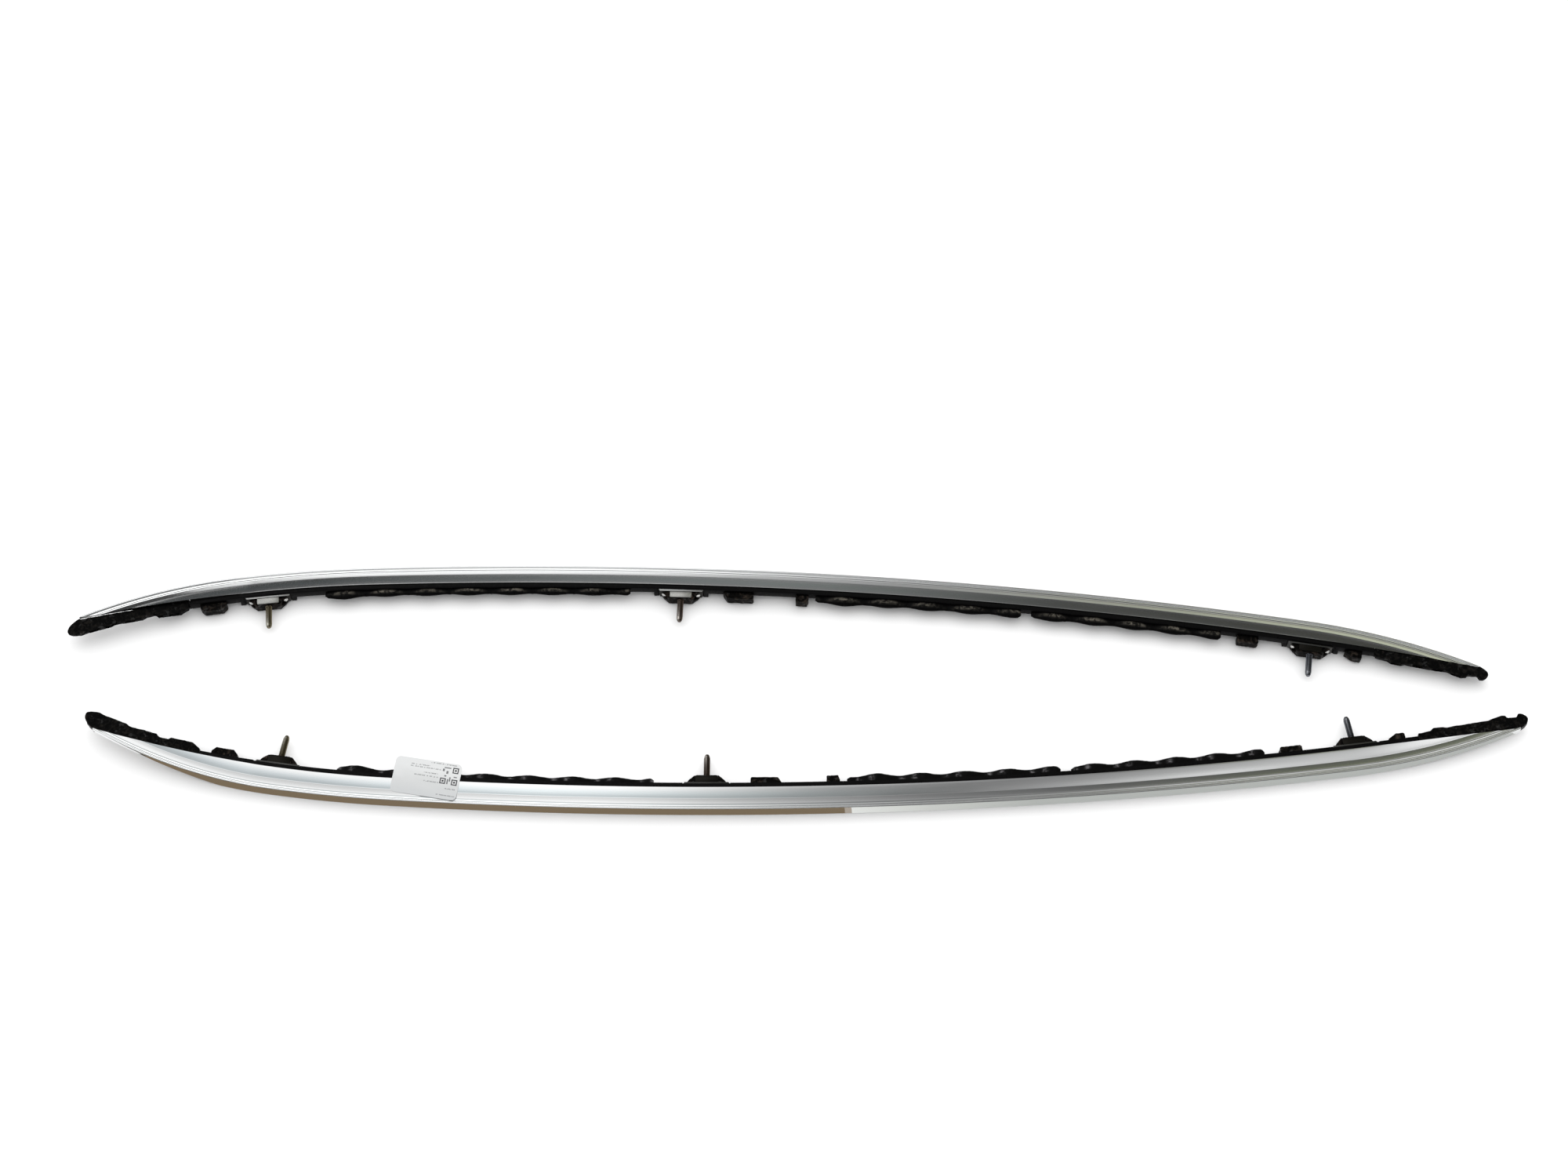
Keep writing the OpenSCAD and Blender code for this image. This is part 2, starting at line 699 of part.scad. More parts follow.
// Placing of the two rails, with the middle of the whole pair's box over the origin
left_tip = [-front_reach - nose_reach, base_y(-front_reach - nose_reach) - 0.54 * nose_depth];
left_tip_x = left_tip.x * cos(pair_turn) + left_tip.y * sin(pair_turn) - pair_shift;
right_tip_x = rear_reach + tail_reach;
pair_rise = main_radius * (1 - cos(pair_turn));
middle_gap = pair_gap - base_y(rear_reach) * (1 + cos(pair_turn)) + rear_reach * sin(pair_turn);
centre = [(left_tip_x + right_tip_x) / 2, pair_rise / 2];
module left() {
    translate([-pair_shift - centre.x, middle_gap / 2 - centre.y, 0]) rotate([0, 0, -pair_turn]) children();
}
module right() {
    translate([-centre.x, -middle_gap / 2 - centre.y, 0]) mirror([0, 1, 0]) children();
}

left() rail_profile();  // left_rail_profile
left() base_moulding();  // left_base_moulding
left() front_cap();  // left_front_cap
left() rear_cap();  // left_rear_cap
left() foot_plate(FRONT);  // left_front_plate
left() foot_plate(MIDDLE);  // left_middle_plate
left() foot_plate(REAR);  // left_rear_plate
left() foot_block(FRONT);  // left_front_block
left() foot_block(MIDDLE);  // left_middle_block
left() foot_block(REAR);  // left_rear_block
left() foot_stud(FRONT);  // left_front_stud
left() foot_stud(MIDDLE);  // left_middle_stud
left() foot_stud(REAR);  // left_rear_stud
left() foot_seal(FRONT);  // left_front_seal
left() foot_seal(MIDDLE);  // left_middle_seal
left() foot_seal(REAR);  // left_rear_seal
left() foot_backing(FRONT);  // left_front_backing
left() foot_backing(MIDDLE);  // left_middle_backing
left() foot_backing(REAR);  // left_rear_backing
left() foot_screws();  // left_foot_screws
left() foam_pads(LEFT_PADS);  // left_foam_pads
right() rail_profile();  // right_rail_profile
right() base_moulding();  // right_base_moulding
right() front_cap();  // right_front_cap
right() rear_cap();  // right_rear_cap
right() foot_plate(FRONT);  // right_front_plate
right() foot_plate(MIDDLE);  // right_middle_plate
right() foot_plate(REAR);  // right_rear_plate
right() foot_block(FRONT);  // right_front_block
right() foot_block(MIDDLE);  // right_middle_block
right() foot_block(REAR);  // right_rear_block
right() foot_stud(FRONT);  // right_front_stud
right() foot_stud(MIDDLE);  // right_middle_stud
right() foot_stud(REAR);  // right_rear_stud
right() foot_seal(FRONT);  // right_front_seal
right() foot_seal(MIDDLE);  // right_middle_seal
right() foot_seal(REAR);  // right_rear_seal
right() foot_backing(FRONT);  // right_front_backing
right() foot_backing(MIDDLE);  // right_middle_backing
right() foot_backing(REAR);  // right_rear_backing
right() foot_screws();  // right_foot_screws
right() foam_pads(PADS);  // right_foam_pads
right() paper_label();  // right_paper_label
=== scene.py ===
"""Looks of the pair of roof side rails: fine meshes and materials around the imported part."""
import math

import bmesh
import bpy
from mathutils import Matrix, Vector, noise


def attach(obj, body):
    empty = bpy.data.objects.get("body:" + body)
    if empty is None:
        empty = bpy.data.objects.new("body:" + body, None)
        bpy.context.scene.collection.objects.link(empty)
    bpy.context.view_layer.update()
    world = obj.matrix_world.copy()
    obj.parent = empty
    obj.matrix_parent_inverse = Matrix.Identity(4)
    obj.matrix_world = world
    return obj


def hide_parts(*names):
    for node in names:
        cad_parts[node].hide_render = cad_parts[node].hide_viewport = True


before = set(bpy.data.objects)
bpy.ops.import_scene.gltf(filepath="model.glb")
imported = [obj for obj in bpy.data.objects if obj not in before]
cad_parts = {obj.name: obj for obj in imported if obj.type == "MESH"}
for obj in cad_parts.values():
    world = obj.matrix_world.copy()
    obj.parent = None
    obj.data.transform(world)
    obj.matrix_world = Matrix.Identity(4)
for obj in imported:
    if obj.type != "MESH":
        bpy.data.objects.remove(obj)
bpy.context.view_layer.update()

MM = 0.001

# Driving sizes, in mm, the same as in the part's source
PAIR_GAP = 86.1
PAIR_SHIFT = 37
PAIR_TURN = math.radians(1.9)
MAIN_RADIUS = 6080
FRONT_RADIUS = 1630
FRONT_BEND = 400
FRONT_REACH = 763
REAR_REACH = 1014
FRONT_TAPER = 218
REAR_TAPER = 214
TIP_HEIGHT = 2
FRONT_LIFT = 11
RAIL_HEIGHT = 28
RAIL_WIDTH = 20.5
CROWN_WIDTH = 16
CROWN_LEAN = 1
LIP_WIDTH = 2.6
GROOVE_WIDTH = 1
GROOVE_DEPTH = 1.1
BAND_WIDTH = 10
CREASE_WIDTH = 17.4
FACE_HOLLOW = 0.2
WALL = 2.4
CHANNEL_LIP = 3
RIM = 6.3
SEAT = 0.1
RIM_LOW = 1
RIM_TOP = 19.4
RIM_STEP = 9.7
SKIRT = 1.2
FOOT_Z = 10
STUD_REACH = 49
STUD_R = 4
STUD_POINT = 4
SEAL_LOW = 18.5
NOSE = (13, 14.58)
TAIL = 11
FEET = {"front": -531, "middle": 0, "rear": 805}
MOULDING = (-628, 884)
PLATE_HALF = 29.3
FOOT_RIM_HALF = 35
RIB_WALL = 2.4
LABEL = (83, 46, 0.25)
LABEL_PLACE = -345
LABEL_TURN = math.radians(6)


# Curves of one rail about its middle foot: X to the rear, Y to the crown
def arc_y(centre, radius, x):
    return centre[1] + math.sqrt(max(0.0, radius * radius - (x - centre[0]) ** 2))


MAIN_CENTRE = (0.0, -float(MAIN_RADIUS))
_joint = (-FRONT_BEND, arc_y(MAIN_CENTRE, MAIN_RADIUS, -FRONT_BEND))
FRONT_CENTRE = tuple(j + (c - j) * FRONT_RADIUS / MAIN_RADIUS for j, c in zip(_joint, MAIN_CENTRE))
CROWN_BEND = -FRONT_BEND * (MAIN_RADIUS + RAIL_HEIGHT) / MAIN_RADIUS
FRONT_START = FRONT_TAPER - FRONT_REACH
REAR_START = REAR_REACH - REAR_TAPER


def base_y(x):
    if x < -FRONT_BEND:
        return arc_y(FRONT_CENTRE, FRONT_RADIUS, x)
    return arc_y(MAIN_CENTRE, MAIN_RADIUS, x)


def full_crown_y(x):
    if x < CROWN_BEND:
        return arc_y(FRONT_CENTRE, FRONT_RADIUS + RAIL_HEIGHT, x)
    return arc_y(MAIN_CENTRE, MAIN_RADIUS + RAIL_HEIGHT, x)


def taper_arc(start, end):
    """Centre and radius of the arc that leaves the crown at start and meets the tip at end."""
    joint = Vector((start, full_crown_y(start)))
    centre = Vector(FRONT_CENTRE if start < CROWN_BEND else MAIN_CENTRE)
    inward = (centre - joint).normalized()
    reach = Vector((end, base_y(end) + TIP_HEIGHT)) - joint
    radius = reach.dot(reach) / (2 * reach.dot(inward))
    return tuple(joint + inward * radius), radius


FRONT_ARC = taper_arc(FRONT_START, -FRONT_REACH)
REAR_ARC = taper_arc(REAR_START, REAR_REACH)


def crown_y(x):
    if x < FRONT_START:
        return arc_y(*FRONT_ARC, x)
    if x > REAR_START:
        return arc_y(*REAR_ARC, x)
    return full_crown_y(x)


def slope(curve, x):
    return curve(x + 0.5) - curve(x - 0.5)


def lift(x):
    start = FRONT_START - FRONT_TAPER / 22
    return FRONT_LIFT * max(0.0, (start - x) / (start + FRONT_REACH)) ** 1.2


def inner_cut(x):
    front = 0.2 * (FRONT_START - FRONT_TAPER / 4 - x)
    rear = 0.045 * (x - REAR_START - REAR_TAPER / 7)
    return min(max(0.0, front, rear), lift(x) + CROWN_WIDTH - 2.8)


def place(side, p):
    """A point of one rail, in mm, in the part's frame, in metres."""
    x, y, z = p
    turn, shift, up = (PAIR_TURN, PAIR_SHIFT, 1) if side == "left" else (0.0, 0.0, -1)
    px = x * math.cos(turn) + y * math.sin(turn) - shift - CENTRE[0]
    py = up * (y * math.cos(turn) - x * math.sin(turn) + MIDDLE_GAP / 2) - CENTRE[1]
    return (px * MM, py * MM, z * MM)


MIDDLE_GAP = PAIR_GAP - base_y(REAR_REACH) * (1 + math.cos(PAIR_TURN)) + REAR_REACH * math.sin(PAIR_TURN)
_nose_x = -FRONT_REACH - NOSE[0]
_left_tip = _nose_x * math.cos(PAIR_TURN) + (base_y(_nose_x) - NOSE[1]) * math.sin(PAIR_TURN) - PAIR_SHIFT
CENTRE = ((_left_tip + REAR_REACH + TAIL) / 2, MAIN_RADIUS * (1 - math.cos(PAIR_TURN)) / 2)


def at_foot(foot, along, depth, z):
    """A point given along the foot and down from the rail's lower edge."""
    a = math.atan(slope(base_y, foot))
    x = foot + along * math.cos(a) + depth * math.sin(a)
    y = base_y(foot) + along * math.sin(a) - depth * math.cos(a)
    return (x, y, z)


def steps(start, end, step):
    count = max(1, math.ceil((end - start) / step))
    return [start + (end - start) * i / count for i in range(count)]


# Materials
class Nodes:
    """A small helper that adds nodes to a node tree and joins them up."""

    def __init__(self, tree):
        self.tree = tree

    def add(self, kind, **settings):
        node = self.tree.nodes.new(kind)
        for key, value in settings.items():
            setattr(node, key, value)
        return node

    def join(self, source, target):
        self.tree.links.new(source, target)

    def coordinates(self, scale=(1, 1, 1), kind="UV"):
        source = self.add("ShaderNodeTexCoord")
        mapping = self.add("ShaderNodeMapping")
        mapping.inputs["Scale"].default_value = scale
        self.join(source.outputs[kind], mapping.inputs["Vector"])
        return mapping.outputs["Vector"]

    def uv(self):
        """The two values of the UV map."""
        parts = self.add("ShaderNodeSeparateXYZ")
        self.join(self.coordinates(), parts.inputs["Vector"])
        return parts.outputs["X"], parts.outputs["Y"]

    def noise(self, vector, scale, detail=3.0, distortion=0.0):
        node = self.add("ShaderNodeTexNoise")
        node.inputs["Scale"].default_value = scale
        node.inputs["Detail"].default_value = detail
        node.inputs["Roughness"].default_value = 0.55
        node.inputs["Distortion"].default_value = distortion
        self.join(vector, node.inputs["Vector"])
        return node.outputs["Fac"]

    def ramp(self, factor, *stops):
        node = self.add("ShaderNodeValToRGB")
        elements = node.color_ramp.elements
        while len(elements) < len(stops):
            elements.new(0.5)
        for element, (position, colour) in zip(elements, stops):
            element.position = position
            element.color = (*colour, 1.0) if isinstance(colour, tuple) else (colour, colour, colour, 1.0)
        self.join(factor, node.inputs["Fac"])
        return node.outputs["Color"]

    def maths(self, operation, *values):
        node = self.add("ShaderNodeMath", operation=operation)
        for socket, value in zip(node.inputs, values):
            if isinstance(value, (int, float)):
                socket.default_value = value
            else:
                self.join(value, socket)
        return node.outputs["Value"]

    def bump(self, height, distance, strength=1.0):
        node = self.add("ShaderNodeBump")
        node.inputs["Distance"].default_value = distance
        node.inputs["Strength"].default_value = strength
        self.join(height, node.inputs["Height"])
        return node.outputs["Normal"]

    def blend(self, factor, first, second):
        """Mixes two colours; each is a node's output or a plain colour."""
        node = self.add("ShaderNodeMixRGB")
        for socket, value in zip(node.inputs, (factor, first, second)):
            if isinstance(value, tuple):
                socket.default_value = (*value, 1.0)
            else:
                self.join(value, socket)
        return node.outputs["Color"]


class Shader(Nodes):
    """The nodes of a new material round its principled shader."""

    def __init__(self, name, **values):
        self.material = bpy.data.materials.new(name)
        self.material.use_nodes = True
        super().__init__(self.material.node_tree)
        self.principled = self.tree.nodes["Principled BSDF"]
        for key, value in values.items():
            socket = self.principled.inputs[key.replace("_", " ").title().replace("Ior", "IOR")]
            socket.default_value = (*value, 1.0) if isinstance(value, tuple) else value

    def drive(self, socket, output):
        self.join(output, self.principled.inputs[socket])


# Second UV value of the rail metal: run round the section in metres, and DARK_WALL more on walls by the caps,
# which get painted shade
FACE_RUN = 0.055
DARK_WALL = 0.5
ALUMINIUM = (0.80, 0.81, 0.81)
SHADED_ALUMINIUM = (0.03, 0.03, 0.03)


def metal_rail():
    """Drawn and anodised metal, with fine lines along it, and painted shade on the walls by the caps."""
    s = Shader("rail metal", base_color=ALUMINIUM, metallic=1.0, roughness=0.2)
    shaded = s.maths("GREATER_THAN", s.uv()[1], FACE_RUN + 0.001)
    s.drive("Base Color", s.blend(shaded, ALUMINIUM, SHADED_ALUMINIUM))
    lines = s.noise(s.coordinates((1.2, 1500, 1)), 1.0, detail=2.0)
    cloud = s.noise(s.coordinates((6, 60, 1)), 1.0, detail=4.0)
    s.drive("Roughness", s.maths("ADD", s.maths("MULTIPLY", lines, 0.08), s.maths("MULTIPLY", cloud, 0.12)))
    s.drive("Normal", s.bump(lines, 0.00002, 0.5))
    return s.material


def plain_metal(name, colour, roughness, grain=0.0, tip_highlight=None, sides=None):
    """Metal with fine spots; a UV map marks a painted highlight streak near a stud's tip, or the up faces of
    a piece whose other faces get painted shade.
    """
    s = Shader(name, base_color=colour, metallic=1.0, roughness=roughness)
    spots = s.noise(s.coordinates(kind="Object"), 900, detail=4.0)
    tone = s.ramp(spots, (0.3, tuple(0.72 * c for c in colour)), (0.6, colour))
    if tip_highlight:
        # Painted highlight: a bright streak along one side of the shank, near the stud's tip.
        along, around = s.uv()
        tip_highlight_along = s.ramp(along, (0.5, 0.12), (0.7, 0.4), (0.84, 1.0), (0.95, 1.0), (0.98, 0.2))
        highlight_streak = s.ramp(around, (0.23, 0.06), (0.3, 1.0), (0.36, 1.0), (0.43, 0.06))
        tone = s.blend(s.maths("MULTIPLY", tip_highlight_along, highlight_streak), tone, tip_highlight)
    # Faces that do not look up take the dark sides colour: painted shade.
    if sides:
        tone = s.blend(s.uv()[0], sides, tone)
    s.drive("Base Color", tone)
    if grain:
        s.drive("Normal", s.bump(spots, grain))
    return s.material


def black_plastic(name, glint):
    """Dark moulded plastic; its flange lobes carry a painted sheen in the base colour, whose place the UV map
    holds.
    """
    s = Shader(name, specular_ior_level=0.06)
    where = s.coordinates(kind="Object")
    uneven = s.ramp(s.noise(where, 190, detail=3.0, distortion=0.8), (0.42, 0.05), (0.6, 1.0))
    sheen = s.maths("MULTIPLY", s.uv()[0], uneven)
    s.drive("Base Color", s.blend(sheen, (0.0013, 0.0012, 0.0013), glint))
    s.drive("Roughness", s.ramp(s.noise(where, 220, detail=3.0), (0.3, 0.22), (0.7, 0.5)))
    s.drive("Normal", s.bump(s.noise(where, 1200, detail=2.0), 0.0001, 0.35))
    return s.material


def foam(name, dark, light, glint):
    """Foam or rubber: dark with lighter lumps and a few shiny places."""
    s = Shader(name)
    where = s.coordinates(kind="Object")
    cloud = s.noise(where, 170, detail=5.0, distortion=0.8)
    s.drive("Base Color", s.ramp(cloud, (0.5, dark), (0.78, light)))
    s.drive("Specular IOR Level", s.ramp(s.noise(where, 150, detail=2.0), (0.6, 0.04), (0.7, glint)))
    s.drive("Roughness", s.ramp(s.noise(where, 300, detail=3.0), (0.3, 0.2), (0.7, 0.6)))
    s.drive("Normal", s.bump(s.noise(where, 600, detail=4.0), 0.0006, 0.8))
    return s.material


# Marks on the label, in shares of its length and height: rows of small marks, nested squares and blocks
MARK_ROWS = (
    (0.53, 0.93, 0.965), (0.22, 0.72, 0.80), (0.24, 0.52, 0.86), (0.45, 0.66, 0.67), (0.31, 0.67, 0.58),
    (0.47, 0.69, 0.44), (0.80, 0.96, 0.31), (0.69, 0.97, 0.12),
)
MARK_SQUARES = ((0.87, 0.735), (0.705, 0.415), (0.88, 0.41))
MARK_BLOCKS = (
    (0.74, 0.84, 0.85, 0.88), (0.72, 0.75, 0.76, 0.83), (0.78, 0.81, 0.70, 0.78), (0.76, 0.79, 0.62, 0.66),
    (0.81, 0.83, 0.42, 0.56), (0.84, 0.86, 0.50, 0.62), (0.90, 0.95, 0.62, 0.65),
)
MARK_PITCH = 46


def paper():
    """Label paper with grey marks that mean nothing."""
    s = Shader("label paper", roughness=0.7)
    u, v = s.uv()

    def within(value, low, high):
        return s.maths("MULTIPLY", s.maths("GREATER_THAN", value, low), s.maths("LESS_THAN", value, high))

    def area(u0, u1, v0, v1):
        return s.maths("MULTIPLY", within(u, u0, u1), within(v, v0, v1))

    def nested_square(u0, v0):
        width, height, edge_u, edge_v = 0.088, 0.16, 0.016, 0.0288
        outer = area(u0, u0 + width, v0, v0 + height)
        inner = area(u0 + edge_u, u0 + width - edge_u, v0 + edge_v, v0 + height - edge_v)
        core = area(u0 + 0.03, u0 + 0.058, v0 + 0.055, v0 + 0.105)
        return s.maths("MAXIMUM", s.maths("SUBTRACT", outer, inner), core)

    rows = 0.0
    for u0, u1, top in MARK_ROWS:
        rows = s.maths("MAXIMUM", rows, area(u0, u1, top - 0.03, top))
    gaps = s.maths("GREATER_THAN", s.maths("FRACT", s.maths("MULTIPLY", u, MARK_PITCH)), 0.2)
    chance = s.maths("GREATER_THAN", s.noise(s.coordinates((MARK_PITCH, 17, 1)), 1.0, detail=0.0), 0.42)
    marks = s.maths("MULTIPLY", s.maths("MULTIPLY", rows, s.maths("MULTIPLY", chance, gaps)), 0.6)
    for u0, v0 in MARK_SQUARES:
        marks = s.maths("MAXIMUM", marks, nested_square(u0, v0))
    for block in MARK_BLOCKS:
        marks = s.maths("MAXIMUM", marks, s.maths("MULTIPLY", area(*block), 0.8))
    cloud = s.maths("MULTIPLY", s.noise(s.coordinates((2, 3, 1)), 1.0, detail=2.0), 0.5)
    # The sheet's grey grows lighter towards the edge that hangs over the moulding: painted shading.
    sheet = s.ramp(s.maths("ADD", v, cloud), (0.3, (0.54, 0.555, 0.56)), (0.65, (0.59, 0.60, 0.60)),
                   (1.0, (0.68, 0.69, 0.69)))
    s.drive("Base Color", s.blend(marks, sheet, (0.045, 0.045, 0.05)))
    return s.material


METAL = metal_rail()
# Each plastic's second colour is the painted sheen on its flange lobes.
PLASTIC = {"left": black_plastic("left moulding plastic", (0.16, 0.145, 0.12)),
           "right": black_plastic("right moulding plastic", (0.12, 0.115, 0.12))}
CAP = foam("cap rubber", (0.0008, 0.0008, 0.0008), (0.014, 0.012, 0.010), 0.35)
FOAM = foam("pad foam", (0.0014, 0.0012, 0.001), (0.042, 0.032, 0.025), 0.4)
SEAL = foam("seal foam", (0.0018, 0.0014, 0.0012), (0.038, 0.026, 0.020), 0.5)
# The foot plates' faces that do not look up are painted dark as shade.
PLATE = plain_metal("plate steel", (0.45, 0.45, 0.44), 0.3, 0.00004, sides=(0.02, 0.018, 0.016))
BLOCK = plain_metal("block steel", (0.42, 0.42, 0.40), 0.34, 0.00008)
PLATE_DARK = plain_metal("plate steel in sealant", (0.08, 0.08, 0.077), 0.3, 0.00004)
BLOCK_DARK = plain_metal("block steel in sealant", (0.015, 0.014, 0.012), 0.35, 0.00008)
# Per stud: the steel's colour, then the colour of the painted highlight streak near its tip.
STUD_COLOURS = {"front": ((0.15, 0.125, 0.075), (0.6, 0.58, 0.52)),
                "middle": ((0.075, 0.052, 0.04), (0.6, 0.56, 0.52)),
                "rear": ((0.10, 0.105, 0.12), (0.3, 0.31, 0.33))}
STUDS = {name: plain_metal(f"{name} stud steel", colour, 0.2, 0.00004, tip_highlight=tip_highlight)
         for name, (colour, tip_highlight) in STUD_COLOURS.items()}
SCREW = plain_metal("screw steel", (0.75, 0.75, 0.73), 0.2)
BACKING = plain_metal("backing steel", (0.5, 0.5, 0.48), 0.4)
PAPER = paper()


# Meshes
def finish_piece(obj, nodes, material, sharp=30):
    """Gives a piece its material and body, and hides the CAD nodes that it stands for."""
    mesh = obj.data
    mesh.materials.clear()
    mesh.materials.append(material)
    mesh.polygons.foreach_set("use_smooth", [True] * len(mesh.polygons))
    mesh.set_sharp_from_angle(angle=math.radians(sharp))
    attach(obj, "root")
    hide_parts(*nodes)
    return obj


def build(name, side, verts, faces, uvs=None):
    """Mesh of one rail's piece from points in mm; the right rail's faces are turned for the mirror."""
    if side == "right":
        faces = [tuple(reversed(f)) for f in faces]
    mesh = bpy.data.meshes.new(name)
    mesh.from_pydata([place(side, v) for v in verts], [], faces)
    if uvs:
        layer = mesh.uv_layers.new(name="UVMap")
        for loop in mesh.loops:
            layer.data[loop.index].uv = uvs[loop.vertex_index]
    mesh.validate()
    obj = bpy.data.objects.new(name, mesh)
    bpy.context.scene.collection.objects.link(obj)
    return obj


def apply_modifiers(obj):
    graph = bpy.context.evaluated_depsgraph_get()
    mesh = bpy.data.meshes.new_from_object(obj.evaluated_get(graph))
    obj.modifiers.clear()
    obj.data = mesh
    return obj


def bevel(obj, width):
    modifier = obj.modifiers.new("edges", "BEVEL")
    modifier.width = width * MM
    modifier.segments = 2
    modifier.limit_method = "ANGLE"
    modifier.angle_limit = math.radians(40)
    return apply_modifiers(obj)


def copy_node(node, name):
    """A loose copy of a CAD node's mesh with its split points merged."""
    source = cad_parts[node]
    obj = bpy.data.objects.new(name, source.data.copy())
    obj.matrix_world = source.matrix_world.copy()
    bpy.context.scene.collection.objects.link(obj)
    mesh = bmesh.new()
    mesh.from_mesh(obj.data)
    bmesh.ops.remove_doubles(mesh, verts=mesh.verts, dist=0.00001)
    bmesh.ops.recalc_face_normals(mesh, faces=mesh.faces)
    mesh.to_mesh(obj.data)
    mesh.free()
    return obj


def bevelled_node(node, width, material):
    """A copy of a CAD node with rounded edges, whose UV map marks the faces that look up."""
    obj = copy_node(node, node + "_edges")
    mesh = bmesh.new()
    mesh.from_mesh(obj.data)
    bmesh.ops.dissolve_limit(mesh, angle_limit=math.radians(3), verts=mesh.verts, edges=mesh.edges)
    mesh.to_mesh(obj.data)
    mesh.free()
    bevel(obj, width)
    layer = obj.data.uv_layers.get("UVMap") or obj.data.uv_layers.new(name="UVMap")
    for face in obj.data.polygons:
        for loop in face.loop_indices:
            layer.data[loop].uv = (1.0 if face.normal.z > 0.6 else 0.0, 0.0)
    return finish_piece(obj, [node], material)


def rail_place(side, p):
    """The opposite of place: a point in the part's frame, in metres, as X, Y and Z of one rail, in mm."""
    turn, shift, up = (PAIR_TURN, PAIR_SHIFT, 1) if side == "left" else (0.0, 0.0, -1)
    px = p[0] / MM + shift + CENTRE[0]
    py = (p[1] / MM + CENTRE[1]) / up - MIDDLE_GAP / 2
    return (px * math.cos(turn) - py * math.sin(turn), px * math.sin(turn) + py * math.cos(turn), p[2] / MM)


REAR_CAP_TOP = 17.3
FRONT_CAP_TOP = 18.6
FRONT_CAP_RISE = 7


def trim_cap(obj, side, depth_share, height_share):
    """Slims a cap: less deep, and raised on the side that faces the roof, past the depth that stays."""
    kept, fade = 3, 4
    nose_length = FRONT_REACH + NOSE[0] + MOULDING[0]
    for vertex in obj.data.vertices:
        x, y, z = rail_place(side, vertex.co)
        depth = base_y(x) - y
        if depth > kept:
            to_nose = min(1.0, max(0.0, (MOULDING[0] - x) / nose_length))
            top = REAR_CAP_TOP if x > 0 else FRONT_CAP_TOP + FRONT_CAP_RISE * to_nose
            near = min(1.0, (depth - kept) / fade)
            z = top - (top - z) * (1 - near * (1 - height_share))
            y = base_y(x) - kept - (depth - kept) * depth_share
            vertex.co = place(side, (x, y, z))


def softened_node(node, voxel, rounds, material, lumps=0.0, scale=120, trim=None):
    """A moulded or foam copy of a CAD node: edges rounded by remeshing, surface slightly uneven."""
    obj = copy_node(node, node + "_soft")
    remesh = obj.modifiers.new("remesh", "REMESH")
    remesh.mode = "VOXEL"
    remesh.voxel_size = voxel * MM
    smooth = obj.modifiers.new("smooth", "SMOOTH")
    smooth.factor = 0.5
    smooth.iterations = rounds
    apply_modifiers(obj)
    if trim:
        trim_cap(obj, node.split("_")[0], *trim)
    if lumps:
        normals = [v.normal.copy() for v in obj.data.vertices]
        for vertex, normal in zip(obj.data.vertices, normals):
            value = noise.fractal(vertex.co * scale, 1.0, 2.0, 3)
            vertex.co += normal * (min(value, 1.0) - 1.0) * 0.5 * lumps * MM
    finish_piece(obj, [node], material, sharp=60)
    return obj


# Rail profile
GROOVE_START = LIP_WIDTH + 0.2
BAND_START = GROOVE_START + GROOVE_WIDTH
CREASE_DEPTH = BAND_START + BAND_WIDTH

# Depth below the crown against the metal's loss of thickness there, round the crown's corner
CORNER = (
    (0, 0.9), (0.12, 0.5), (0.35, 0.22), (0.7, 0.04), (1.1, -0.05), (1.6, -0.05), (2.0, 0.02),
    (LIP_WIDTH - 0.25, 0.22), (LIP_WIDTH, 0.5),
)
# Share of the band's width against the metal's thickness, from the groove to the crease
BAND = (
    (0.0, 15.0), (0.04, 15.08), (0.16, 15.19), (0.18, 15.15), (0.2, 15.22), (0.36, 15.36), (0.385, 15.38),
    (0.398, 15.395), (0.402, 15.4), (0.415, 15.44), (0.46, 15.57), (0.6, 16.01), (0.75, 16.51),
    (0.88, 16.97), (0.97, 17.29), (0.99, 17.37),
)
HOLLOW_POINTS = 12
# How the inner half of the crown rounds: share of its height against share of its lean
CROWN_ROUND = ((0.8, 0.12), (0.5, 0.5), (0.25, 0.82), (0.09, 1.0), (0.04, 0.98), (0.015, 0.86), (0.0, 0.6))
EDGE_POINTS = 3
CHANNEL_POINTS = 8


def outer_face():
    """Depth below the crown against thickness, from the crown's corner to the lower edge."""
    groove = CROWN_WIDTH - GROOVE_DEPTH - 0.3
    points = [(depth, CROWN_WIDTH - loss) for depth, loss in CORNER]
    points += [(GROOVE_START, groove), (BAND_START - 0.25, groove)]
    points += [(BAND_START + BAND_WIDTH * share, thick) for share, thick in BAND]
    width = RAIL_HEIGHT - CREASE_DEPTH
    for i in range(HOLLOW_POINTS):
        t = (i + 0.35) / HOLLOW_POINTS
        rise = (RAIL_WIDTH - 0.1 - CREASE_WIDTH) * t - 4 * FACE_HOLLOW * t * (1 - t)
        points.append((CREASE_DEPTH + (width - 0.3) * t, CREASE_WIDTH + rise))
    for from_edge, loss in ((0.3, 0.08), (0.08, 0.2), (0, 0.45)):
        points.append((RAIL_HEIGHT - from_edge, RAIL_WIDTH - loss))
    return points


OUTER = outer_face()


def lookup(table, value):
    if value <= table[0][0]:
        return table[0][1]
    for (a, fa), (b, fb) in zip(table, table[1:]):
        if value <= b:
            return fa + (fb - fa) * (value - a) / (b - a) if b > a else fb
    return table[-1][1]


